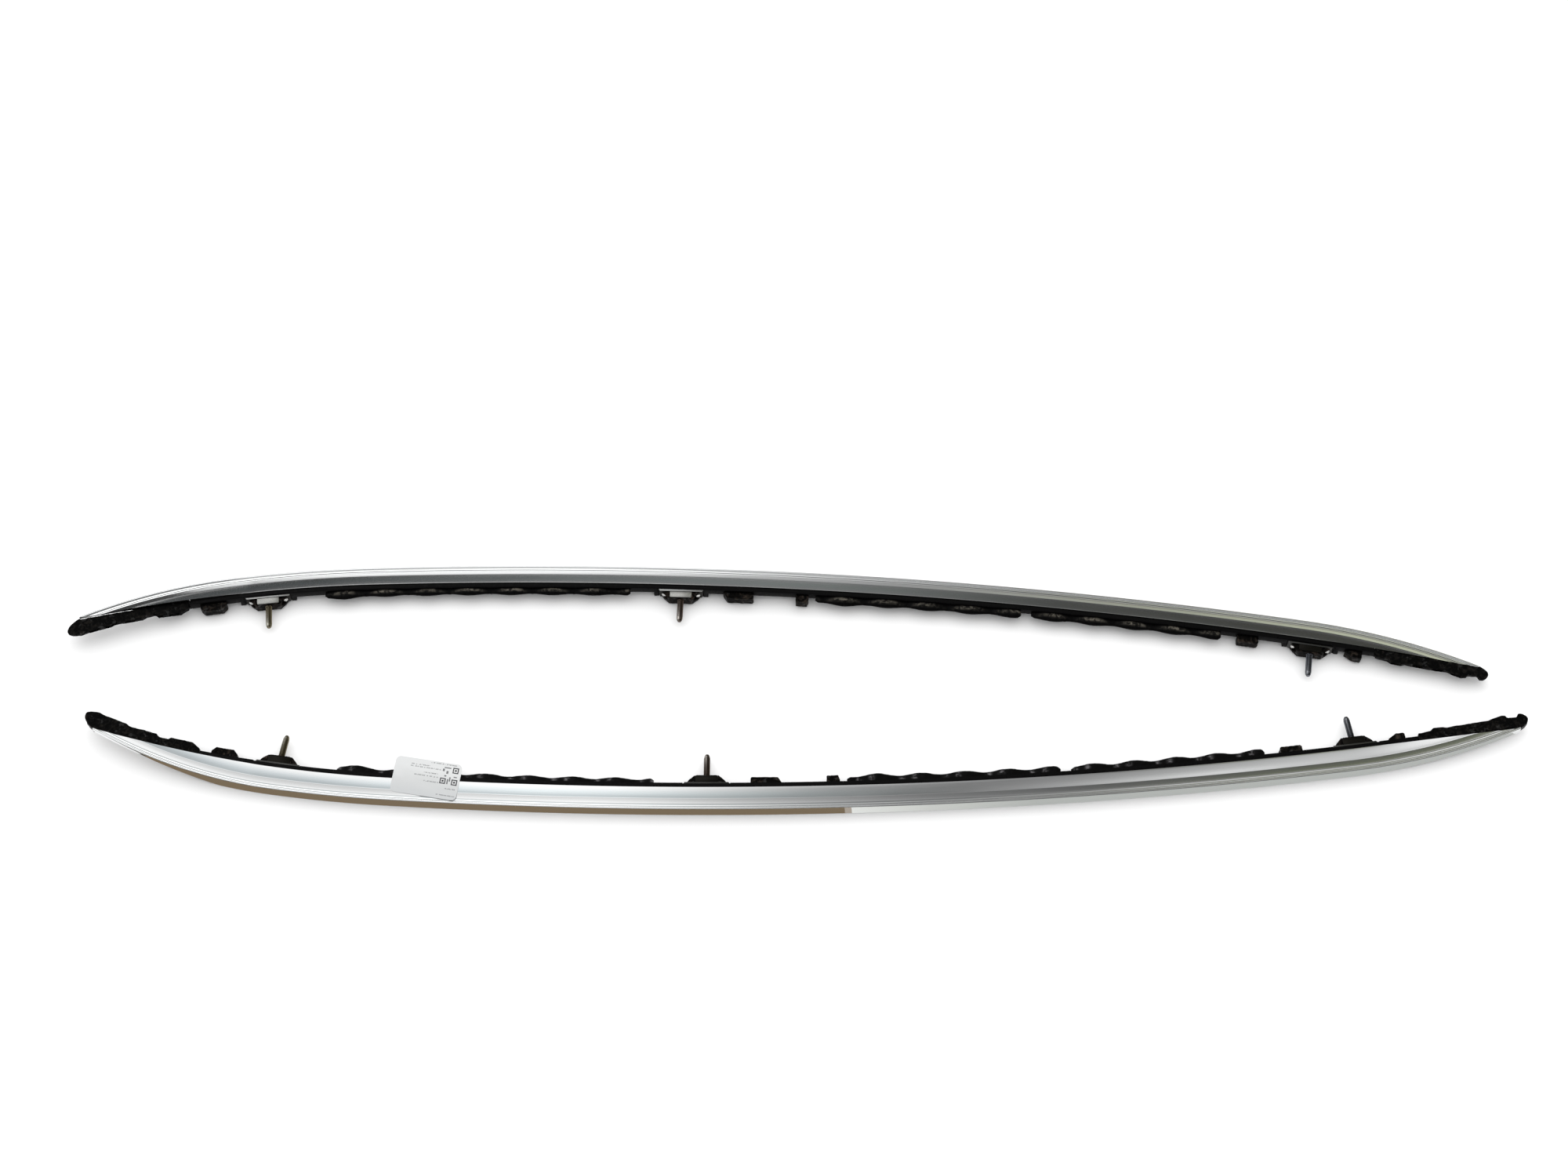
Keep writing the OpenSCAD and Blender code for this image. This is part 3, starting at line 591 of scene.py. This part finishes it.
def section(x):
    """Outline at a place along the rail, as (y, z): lower edge, outer face, crown, inner side, channel."""
    top, low, rise = crown_y(x), inner_cut(x), lift(x)
    skew = math.hypot(1, slope(crown_y, x))
    depth = (top - base_y(x)) / skew
    sliver = 0.02
    last = len(OUTER) - 1
    deep = [min(OUTER[i][0], depth - sliver * (last - i)) for i in range(last, -1, -1)]
    ring = [(top - d * skew, rise + lookup(OUTER, max(d, 0))) for d in deep]
    corner = rise + OUTER[0][1]
    for share, lean in CROWN_ROUND:
        ring.append((top + lean * CROWN_LEAN, low + share * (corner - low)))
    ring += [(base_y(x) + 0.3, low), (base_y(x) + 0.08, low + 0.1), (base_y(x), low + 0.35)]
    is_open = depth > 2 * WALL + 6 and low < 5
    thin = min(WALL, (rise + CROWN_WIDTH - low) / 8)
    lip = min(CHANNEL_LIP, (rise + CROWN_WIDTH - low) / 8)
    ledge = depth - WALL if is_open else depth - 0.1
    roof = WALL + 1.6 if is_open else depth - 0.15
    upper = rise + lookup(OUTER, ledge) - thin
    floor = low + thin
    channel = (
        (depth, floor + lip), (ledge, floor + lip), (ledge, floor), (roof, floor),
        (roof, rise + lookup(OUTER, roof) - thin), (ledge, upper), (ledge, upper - lip), (depth, upper - lip),
    )
    for d, z in channel:
        ring.append((top - d * skew, z))
    return ring


def rail_profile(side):
    """One closed loft of the metal from point to point; its UV map marks the walls by the caps that get
    painted shade.
    """
    places = steps(-FRONT_REACH, FRONT_START, 5) + steps(FRONT_START, REAR_START, 11)
    places += steps(REAR_START, REAR_REACH, 5) + [REAR_REACH]
    rings = [section(x) for x in places]
    count, verts, uvs, faces = len(rings[0]), [], [], []
    for x, ring in zip(places, rings):
        by_tip = x < MOULDING[0] - 50 or x > MOULDING[1] + 60
        run = 0.0
        for i, (y, z) in enumerate(ring):
            if i:
                run += math.hypot(y - ring[i - 1][0], z - ring[i - 1][1])
            verts.append((x, y, z))
            shaded = by_tip and (i < EDGE_POINTS or i >= count - CHANNEL_POINTS)
            uvs.append((x * MM, min(run * MM, FACE_RUN) + (DARK_WALL if shaded else 0.0)))
    for i in range(len(places) - 1):
        for j in range(count):
            a, b = i * count + j, i * count + (j + 1) % count
            faces.append((a, a + count, b + count, b))
    for end, first in ((0, 0), (1, (len(places) - 1) * count)):
        x = REAR_REACH + 0.3 if end else -FRONT_REACH - 0.3
        y = base_y(x) + TIP_HEIGHT / 2
        z = CROWN_WIDTH / 2 if end else lift(x) + CROWN_WIDTH - 1.4
        apex = len(verts)
        verts.append((x, y, z))
        uvs.append((x * MM, 0.0))
        for j in range(count):
            pair = (first + j, first + (j + 1) % count)
            faces.append((apex, *(pair[::-1] if end else pair)))
    obj = build(f"{side}_rail_metal", side, verts, faces, uvs)
    return finish_piece(obj, [f"{side}_rail_profile"], METAL, sharp=24)


# Base moulding: rim, skirt, scalloped flange and brackets
# Runs of scallops: start, end, place of a crest, pitch, depth at crests and between, first crest's extra
RUNS = (
    (-457, -65, -272, 53.3, 15, 12.8, 2),
    (173, 437, 210, 53.6, 16.6, 14, 1.4),
    (450, 691, 477, 51, 16.6, 14, 0),
)
SCALLOP_TOP = 17.6
SCALLOP_LOW = SCALLOP_TOP - 5.2
# How a lobe rounds over: share of its reach against its drop
LOBE_ROUND = (
    (0.0, 0.35), (0.15, 0.1), (0.35, 0.0), (0.55, 0.12), (0.72, 0.45), (0.86, 1.0), (0.95, 1.8), (1.0, 2.7),
)


def scallop(run, x):
    """Depth of a scalloped run at a place along the rail."""
    start, end, crest, pitch, high, low, extra = run
    edge = min(x - start, end - x) / 4
    first = crest - math.floor((crest - start) / pitch) * pitch
    swell = extra * max(0.0, 1 - abs(x - first) * 1.4 / pitch)
    wave = (high + low) / 2 + (high - low) / 2 * math.cos(2 * math.pi * (x - crest) / pitch)
    return wave + swell - 3 * max(0.0, 1 - edge)


def lobe_sheen(side, run, x, phase, across):
    """Strength of the painted sheen on a lobe: one arc on the left rail, a pair of painted glints on the
    right rail.
    """
    if side == "left":
        arc = math.exp(-(((across - 0.26 - 2.2 * phase ** 2) / 0.2) ** 2))
        uneven = min(1.0, max(0.25, 0.7 + noise.noise(Vector((x * 0.035, run[0], 0.0)))))
        return max(0.0, math.cos(math.pi * phase)) ** 2 * arc * uneven
    glint = max(math.exp(-((phase + at) * run[3] / 2.6) ** 2) for at in (0.42, 0.13))
    return glint * math.exp(-(((across - 0.4) / 0.35) ** 2))


def flange(name, side, run):
    """Scalloped flange whose lobes are rounded over towards their outer edge."""
    start, end, crest, pitch = run[:4]
    places = [start, start + 0.6, start + 1.6] + steps(start + 3, end - 3, 1.8)
    places += [end - 3, end - 1.6, end - 0.6, end]
    verts, faces, uvs = [], [], []
    for x in places:
        depth = scallop(run, x)
        phase = (x - crest) / pitch - math.floor((x - crest) / pitch + 0.5)
        lobe = 0.5 + 0.5 * math.cos(2 * math.pi * (x - crest) / pitch)
        near = min(1.0, min(x - start, end - x) / 3)
        top = SCALLOP_TOP - 1.7 * (1 - lobe) ** 1.5 - 1.2 * (1 - near) ** 2
        reach = depth - RIM
        ring = [(1.0, SCALLOP_LOW), (1.0, top)]
        for share, drop in LOBE_ROUND:
            ring.append((RIM + reach * share, top - drop))
        ring += [(depth, SCALLOP_LOW + 0.6), (depth - 0.6, SCALLOP_LOW)]
        for i, (d, z) in enumerate(ring):
            if 3 < i < 10:
                lump = noise.fractal(Vector((x, d * 1.6, run[0])) * 0.16, 1.0, 2.0, 3)
                z -= 0.7 * min(1.0, max(0.0, 0.5 + lump))
            verts.append((x, base_y(x) - d, z))
            across = (d - RIM) / reach if 1 < i < 11 else -1.0
            uvs.append((lobe_sheen(side, run, x, phase, across), 0.0))
    count = len(ring)
    for i in range(len(places) - 1):
        for j in range(count):
            a, b = count * i + j, count * i + (j + 1) % count
            faces.append((a, b, b + count, a + count))
    last = count * (len(places) - 1)
    faces += [tuple(range(count - 1, -1, -1)), tuple(range(last, last + count))]
    faces = [tuple(reversed(f)) for f in faces]
    return build(name, side, verts, faces, uvs)


def ribbon(name, side, rows, edge):
    """A solid between rows of (x, y_top, y_bottom, z_low, z_high), with rounded long edges."""
    verts, faces = [], []
    for x, top, bottom, low, high in rows:
        verts += [(x, top, low), (x, bottom, low), (x, bottom, high), (x, top, high)]
    for i in range(len(rows) - 1):
        for j in range(4):
            a, b = 4 * i + j, 4 * i + (j + 1) % 4
            faces.append((a, b, b + 4, a + 4))
    last = 4 * (len(rows) - 1)
    faces += [(3, 2, 1, 0), (last, last + 1, last + 2, last + 3)]
    obj = build(name, side, verts, faces, [(0.0, 0.0)] * len(verts))
    return bevel(obj, edge)


def join(name, pieces):
    """One object from several, joined as they stand."""
    mesh = bmesh.new()
    for piece in pieces:
        mesh.from_mesh(piece.data)
    data = bpy.data.meshes.new(name)
    mesh.to_mesh(data)
    mesh.free()
    for piece in pieces:
        bpy.data.objects.remove(piece)
    obj = bpy.data.objects.new(name, data)
    bpy.context.scene.collection.objects.link(obj)
    return obj


def base_moulding(side):
    """Rim, skirt, rims at the feet, flanges and brackets of one rail, joined into one piece."""
    inset = 0.8
    cuts = [(foot - PLATE_HALF, foot + PLATE_HALF) for foot in FEET.values()]
    cut_ends = [x + e for cut in cuts for x in cut for e in (-0.05, 0.05)]
    rows = []
    for x in sorted(set(steps(*MOULDING, 9) + [MOULDING[1]] + cut_ends)):
        depth = RIM - (inset if any(a < x < b for a, b in cuts) else 0)
        rows.append((x, base_y(x) - SEAT, base_y(x) - depth, RIM_STEP, RIM_TOP))
    pieces = [ribbon("rim", side, rows, 0.5)]
    rows = [(x, base_y(x) - SEAT, base_y(x) - SKIRT, RIM_LOW, RIM_TOP - 0.3)
            for x in steps(*MOULDING, 12) + [MOULDING[1]]]
    pieces.append(ribbon("skirt", side, rows, 0.2))
    for foot, (cut_start, cut_end) in zip(FEET.values(), cuts):
        middle = (cut_start + 0.02, cut_end - 0.02)
        for start, end in ((foot - FOOT_RIM_HALF, cut_start), middle, (cut_end, foot + FOOT_RIM_HALF)):
            depth = RIM - (inset if start < foot < end else 0)
            rows = [(x, base_y(x) - 0.6, base_y(x) - depth, RIM_LOW, RIM_TOP - 0.2)
                    for x in steps(start, end, 8) + [end]]
            pieces.append(ribbon("foot rim", side, rows, 0.3))
    for run in RUNS:
        start, end, crest, pitch = run[:4]
        pieces.append(flange("flange", side, run))
        first = math.ceil((start + 3 - crest) / pitch * 2)
        last = math.floor((end - 3 - crest) / pitch * 2)
        for x in [crest + i * pitch / 2 for i in range(first, last + 1)]:
            rows = [(p, base_y(p) - SKIRT / 2, base_y(p) - RIM - 1.8, 4, SCALLOP_LOW + 1)
                    for p in (x - RIB_WALL / 2, x + RIB_WALL / 2)]
            pieces.append(ribbon("bracket", side, rows, 0.3))
    obj = join(f"{side}_moulding", pieces)
    return finish_piece(obj, [f"{side}_base_moulding"], PLASTIC[side], sharp=35)


def stud(side, name, foot):
    """Threaded stud, turned about its own axis; only the shank past the seal carries the thread."""
    pitch, thread = 1.25, 0.4
    head, neck, lead = 7.0, 4.3, 3.8
    point = STUD_REACH - STUD_POINT
    profile = [(head, 2.7), (head, 5.5), (neck, 5.5), (neck, SEAL_LOW), (3.7, SEAL_LOW + 0.3)]
    turn = SEAL_LOW + 0.8
    while turn < point - pitch:
        profile += [(STUD_R - thread, turn), (STUD_R, turn + pitch * 0.4), (STUD_R, turn + pitch * 0.6)]
        turn += pitch
    profile += [(lead, turn), (lead, point), (3.4, STUD_REACH - STUD_POINT / 2), (2.3, STUD_REACH)]
    sides, verts, faces, uvs = 28, [], [], []
    for radius, depth_at in profile:
        for k in range(sides):
            a = 2 * math.pi * k / sides
            verts.append(at_foot(foot, radius * math.cos(a), depth_at, FOOT_Z + radius * math.sin(a)))
            uvs.append((depth_at / STUD_REACH, k / sides))
    for i in range(len(profile) - 1):
        for k in range(sides):
            a, b = i * sides + k, i * sides + (k + 1) % sides
            faces.append((a, b, b + sides, a + sides))
    last = (len(profile) - 1) * sides
    faces += [tuple(range(sides - 1, -1, -1)), tuple(range(last, last + sides))]
    obj = build(f"{side}_{name}_stud_thread", side, verts, faces, uvs)
    return finish_piece(obj, [f"{side}_{name}_stud"], STUDS[name], sharp=35)


def rounded(x, y, half_x, half_y, radius):
    """Moves a point of a rectangle so that the rectangle's corners come out round."""
    dx, dy = (abs(x) - half_x + radius) / radius, (abs(y) - half_y + radius) / radius
    if dx > 0 and dy > 0:
        x = math.copysign(half_x - radius + radius * dx * math.sqrt(1 - dy * dy / 2), x)
        y = math.copysign(half_y - radius + radius * dy * math.sqrt(1 - dx * dx / 2), y)
    return x, y


def label():
    """Thin paper sheet on the right rail's outer face, hanging over the moulding."""
    length, height, thick = LABEL
    corner, drop, gap = 6, 2, 0.05
    across, up = 36, 20
    tilt = math.atan((RAIL_WIDTH - CROWN_WIDTH + 0.25) / (RAIL_HEIGHT - BAND_START))
    verts, uvs, faces = [], [], []
    for layer in (0, 1):
        level = RAIL_WIDTH + gap + layer * thick
        for j in range(up + 1):
            for i in range(across + 1):
                u, v = i / across, j / up
                x, y = rounded((u - 0.5) * length, (v - 0.5) * height, length / 2, height / 2, corner)
                y -= drop
                along = x * math.cos(LABEL_TURN) - y * math.sin(LABEL_TURN)
                rise = x * math.sin(LABEL_TURN) + y * math.cos(LABEL_TURN)
                z = level - rise * math.sin(tilt)
                verts.append(at_foot(LABEL_PLACE, along, -rise * math.cos(tilt), z))
                uvs.append((u, 1 - v))
    row = across + 1
    sheet = row * (up + 1)
    for j in range(up):
        for i in range(across):
            a = j * row + i
            b = a + sheet
            faces.append((a, a + row, a + row + 1, a + 1))
            faces.append((b, b + 1, b + row + 1, b + row))
    edge = list(range(across)) + [across + j * row for j in range(up)]
    edge += [up * row + i for i in range(across, 0, -1)] + [j * row for j in range(up, 0, -1)]
    for a, b in zip(edge, edge[1:] + edge[:1]):
        faces.append((a, b, b + sheet, a + sheet))
    obj = build("right_label_sheet", "right", verts, faces, uvs)
    return finish_piece(obj, ["right_paper_label"], PAPER)


def finish_node(node, material):
    """Gives a CAD node that stays as it is its finished material."""
    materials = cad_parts[node].data.materials
    materials.clear()
    materials.append(material)


CAP_TRIM = {"front": (0.9, 0.45), "rear": (0.83, 0.4)}

for side in ("left", "right"):
    rail_profile(side)
    base_moulding(side)
    for end, trim in CAP_TRIM.items():
        softened_node(f"{side}_{end}_cap", 0.8, 3, CAP, lumps=1.2, trim=trim)
    for name, foot in FEET.items():
        stud(side, name, foot)
        bright = side == "left" and name != "rear"
        bevelled_node(f"{side}_{name}_plate", 0.35, PLATE if bright else PLATE_DARK)
        bevelled_node(f"{side}_{name}_block", 0.5, BLOCK if bright else BLOCK_DARK)
        softened_node(f"{side}_{name}_seal", 0.5, 2, SEAL, lumps=0.3, scale=160)
        finish_node(f"{side}_{name}_backing", BACKING)
    softened_node(f"{side}_foam_pads", 0.7, 3, FOAM, lumps=0.6, scale=170)
    finish_node(f"{side}_foot_screws", SCREW)
label()


# Stage: a pale floor, a plain white surround, and a room that only reflections see
def make_floor():
    bpy.ops.mesh.primitive_plane_add(size=60, location=(0, 0, 0))
    floor = bpy.context.active_object
    floor.name = "floor"
    s = Shader("floor white", base_color=(0.95, 0.95, 0.95), roughness=0.9, specular_ior_level=0.0)
    floor.data.materials.append(s.material)


SKY_STRENGTH = 1.9
ROOM_STRENGTH = 1.25


def make_world():
    """A pale sky for plain light, and a room for glossy rays, set by the angle behind the zenith."""
    world = bpy.data.worlds.new("studio")
    bpy.context.scene.world = world
    world.use_nodes = True
    world.node_tree.nodes.clear()
    s = Nodes(world.node_tree)
    parts = s.add("ShaderNodeSeparateXYZ")
    s.join(s.add("ShaderNodeTexCoord").outputs["Generated"], parts.inputs["Vector"])
    x, y, z = (parts.outputs[axis] for axis in "XYZ")
    sideways = s.maths("ADD", s.maths("MULTIPLY", x, 0.5), 0.5)
    backward = s.maths("MULTIPLY", s.maths("ARCTAN2", y, z), 180 / math.pi)
    before, room = ROOM[0][0], s.ramp(sideways, *ROOM[0][1:])
    for angle, *stops in ROOM[1:]:
        clamp = s.add("ShaderNodeClamp")
        share = s.maths("DIVIDE", s.maths("SUBTRACT", backward, before), angle - before)
        s.join(share, clamp.inputs["Value"])
        room = s.blend(clamp.outputs["Result"], room, s.ramp(sideways, *stops))
        before = angle
    height = s.maths("ADD", s.maths("DIVIDE", backward, 180), 0.5)
    sky = s.ramp(height, (0.0, 0.3), (0.5, 0.62), (0.75, 1.0), (1.0, 0.9))
    surround = s.add("ShaderNodeMixShader")
    s.join(s.add("ShaderNodeLightPath").outputs["Is Glossy Ray"], surround.inputs["Fac"])
    for place_in_mix, colour, strength in ((1, sky, SKY_STRENGTH), (2, room, ROOM_STRENGTH)):
        background = s.add("ShaderNodeBackground")
        background.inputs["Strength"].default_value = strength
        s.join(colour, background.inputs["Color"])
        s.join(background.outputs["Background"], surround.inputs[place_in_mix])
    s.join(surround.outputs["Shader"], s.add("ShaderNodeOutputWorld").inputs["Surface"])


# The room that reflections see: angle behind the zenith, then strengths from its left to its right
ROOM = (
    (-72, (0.3, 0.12), (0.7, 0.12)),
    (-60, (0.3, 0.12), (0.34, 0.8), (0.42, 0.8), (0.47, 0.9), (0.5, 0.9), (0.55, 0.15), (0.68, 0.15)),
    (-48, (0.36, 0.12), (0.5, 0.12), (0.66, 0.15)),
    (-42, (0.36, 0.3), (0.42, 0.4), (0.48, 0.12), (0.66, 0.12)),
    (-36, (0.36, 0.12), (0.5, 0.12), (0.66, 0.15)),
    (-16, (0.38, 0.5), (0.46, 0.6), (0.5, 0.3), (0.54, 0.15), (0.6, 0.08)),
    (-8, (0.39, 0.72), (0.46, 0.95), (0.49, 0.55), (0.51, 0.38), (0.54, 0.2), (0.58, 0.11),
     (0.64, (0.11, 0.118, 0.085))),
    (-4.5, (0.39, 0.95), (0.46, 1.12), (0.49, 0.75), (0.51, 0.5), (0.54, 0.34), (0.58, 0.19),
     (0.64, (0.17, 0.18, 0.13))),
    (-2, (0.39, 0.95), (0.46, 1.1), (0.485, 0.68), (0.51, 0.34), (0.54, 0.15), (0.57, 0.2), (0.6, 0.32),
     (0.66, 0.48)),
    (2.8, (0.39, (0.64, 0.68, 0.7)), (0.45, (0.92, 0.99, 1.01)), (0.485, (0.52, 0.56, 0.57)),
     (0.51, (0.27, 0.29, 0.29)), (0.54, 0.14), (0.57, 0.26), (0.6, 0.4), (0.65, 0.55), (0.68, 0.95)),
    (7.5, (0.39, (0.4, 0.435, 0.45)), (0.45, (0.54, 0.59, 0.61)), (0.485, (0.37, 0.4, 0.41)),
     (0.51, (0.2, 0.215, 0.215)), (0.54, 0.13), (0.57, 0.38), (0.6, 0.78), (0.64, 0.46), (0.66, 0.8),
     (0.69, 0.95)),
    (12, (0.39, 0.45), (0.46, 0.6), (0.5, 0.25), (0.54, 0.12), (0.6, 0.25), (0.66, 0.25)),
    (18, (0.39, 1.05), (0.46, 1.1), (0.485, 0.62), (0.51, 0.3), (0.54, 0.17),
     (0.6, (0.15, 0.155, 0.12))),
    (24, (0.39, 1.2), (0.46, 1.3), (0.5, 0.42), (0.54, 0.16), (0.6, (0.14, 0.145, 0.115))),
    (31, (0.16, 0.05), (0.2, 0.9), (0.26, 0.9), (0.31, 0.4), (0.38, 1.45), (0.47, 1.5), (0.5, 0.75),
     (0.54, 0.3), (0.57, (0.38, 0.39, 0.34)), (0.6, (0.65, 0.67, 0.6)), (0.66, (0.5, 0.51, 0.45))),
    (42, (0.38, 1.25), (0.485, 1.25), (0.5, 0.85), (0.53, 0.42), (0.56, (0.31, 0.315, 0.27)),
     (0.6, (0.34, 0.345, 0.29)), (0.65, (0.3, 0.305, 0.25))),
    (46.3, (0.38, 1.2), (0.485, 1.05), (0.5, 0.6), (0.54, 0.26), (0.6, 0.3)),
    (49.3, (0.37, 0.02), (0.4, 0.05), (0.48, 0.15), (0.51, 0.16), (0.54, 0.11), (0.57, 0.035),
     (0.65, 0.035)),
    (55, (0.38, (0.045, 0.05, 0.052)), (0.44, (0.085, 0.095, 0.095)), (0.485, (0.145, 0.16, 0.16)),
     (0.51, (0.145, 0.16, 0.155)), (0.54, (0.1, 0.11, 0.105)), (0.57, (0.048, 0.05, 0.045)),
     (0.64, (0.037, 0.037, 0.03))),
    (62.8, (0.38, 0.07), (0.44, 0.12), (0.48, 0.17), (0.51, 0.16), (0.54, 0.12), (0.57, 0.06),
     (0.64, 0.05)),
    (66, (0.362, 0.03), (0.368, 0.8), (0.4, 1.15), (0.47, 1.15), (0.5, 0.53), (0.54, 0.29),
     (0.6, (0.31, 0.32, 0.25)), (0.66, (0.47, 0.48, 0.37))),
    (71.5, (0.36, 0.03), (0.368, 0.4), (0.44, 0.7), (0.47, 0.45), (0.51, 0.31), (0.54, 0.25),
     (0.6, (0.31, 0.32, 0.26)), (0.66, (0.42, 0.44, 0.33))),
    (78, (0.4, 0.6), (0.48, 0.6), (0.51, 0.3), (0.56, 0.12), (0.64, 0.1)),
    (92, (0.36, 0.15), (0.42, 0.9), (0.485, 0.9), (0.51, 0.4), (0.54, 0.12), (0.64, 0.12)),
    (102, (0.36, 0.15), (0.42, 0.9), (0.485, 0.9), (0.51, 0.4), (0.54, 0.12), (0.64, 0.12)),
    (112, (0.4, 0.1), (0.6, 0.1)),
)


def reflection_card(name, side, start, end, near, far, *stops):
    """A strip on the floor along a rail's crown that only reflections see; its colour may run along it."""
    above_floor = 0.2
    rows = steps(start, end, 20) + [end]
    verts, faces, uvs = [], [], []
    for x in rows:
        verts += [(x, crown_y(x) + near, above_floor), (x, crown_y(x) + far, above_floor)]
        uvs += [((x - start) / (end - start), 0.0)] * 2
    for i in range(len(rows) - 1):
        faces.append((2 * i, 2 * i + 1, 2 * i + 3, 2 * i + 2))
    card = build(name, side, verts, faces, uvs)
    s = Shader(name, base_color=(0.0, 0.0, 0.0), roughness=1.0, specular_ior_level=0.0, emission_strength=1.0)
    if len(stops) > 1:
        s.drive("Emission Color", s.ramp(s.uv()[0], *stops))
    else:
        s.principled.inputs["Emission Color"].default_value = (*stops[0][1], 1.0)
    card.data.materials.append(s.material)
    for ray in ("camera", "diffuse", "transmission", "volume_scatter", "shadow"):
        setattr(card, f"visible_{ray}", False)


LENS = 57.6
CAMERA_TILT = math.radians(59)
CAMERA_PLACE = (-9.2, -1523.5, 2785.8)


def make_camera():
    """Camera fitted to the photograph: both rails lie flat under it."""
    camera = bpy.data.cameras.new("camera")
    camera.lens = LENS
    camera.sensor_width = 36
    obj = bpy.data.objects.new("camera", camera)
    bpy.context.scene.collection.objects.link(obj)
    obj.location = tuple(v * MM for v in CAMERA_PLACE)
    obj.rotation_euler = (math.pi / 2 - CAMERA_TILT, 0, 0)
    bpy.context.scene.camera = obj


# Places and colours of the reflection cards
BROWN_END = 170.5
GREY_START = 179
FAR_START = 60
CORNER_STRIP = (1.5, 40)
OUTER_STRIP = (41, 220)
FAR_STRIP = (5, 220)
BROWN = (0.235, 0.178, 0.116)
BEIGE = (0.48, 0.42, 0.36)
GREY = (0.545, 0.56, 0.54)
DARK = (0.08, 0.078, 0.07)
FAR_DARK = (0.1, 0.1, 0.09)

make_floor()
make_world()
reflection_card("brown card", "right", -FRONT_REACH, BROWN_END, *CORNER_STRIP, (0.0, BROWN))
reflection_card("beige card", "right", BROWN_END, GREY_START, *CORNER_STRIP, (0.0, BEIGE))
reflection_card("grey card", "right", GREY_START, REAR_REACH, *CORNER_STRIP,
                (0.0, (0.92, 0.93, 0.9)), (0.12, (0.72, 0.73, 0.7)), (0.27, GREY), (1.0, GREY))
reflection_card("dark card", "right", -FRONT_REACH, REAR_REACH, *OUTER_STRIP, (0.0, DARK))
reflection_card("far card", "left", FAR_START, REAR_REACH, *FAR_STRIP,
                (0.0, (0.9, 0.9, 0.9)), (0.1, (0.35, 0.35, 0.34)), (0.25, FAR_DARK), (1.0, FAR_DARK))
make_camera()
bpy.context.scene.view_settings.view_transform = "Standard"
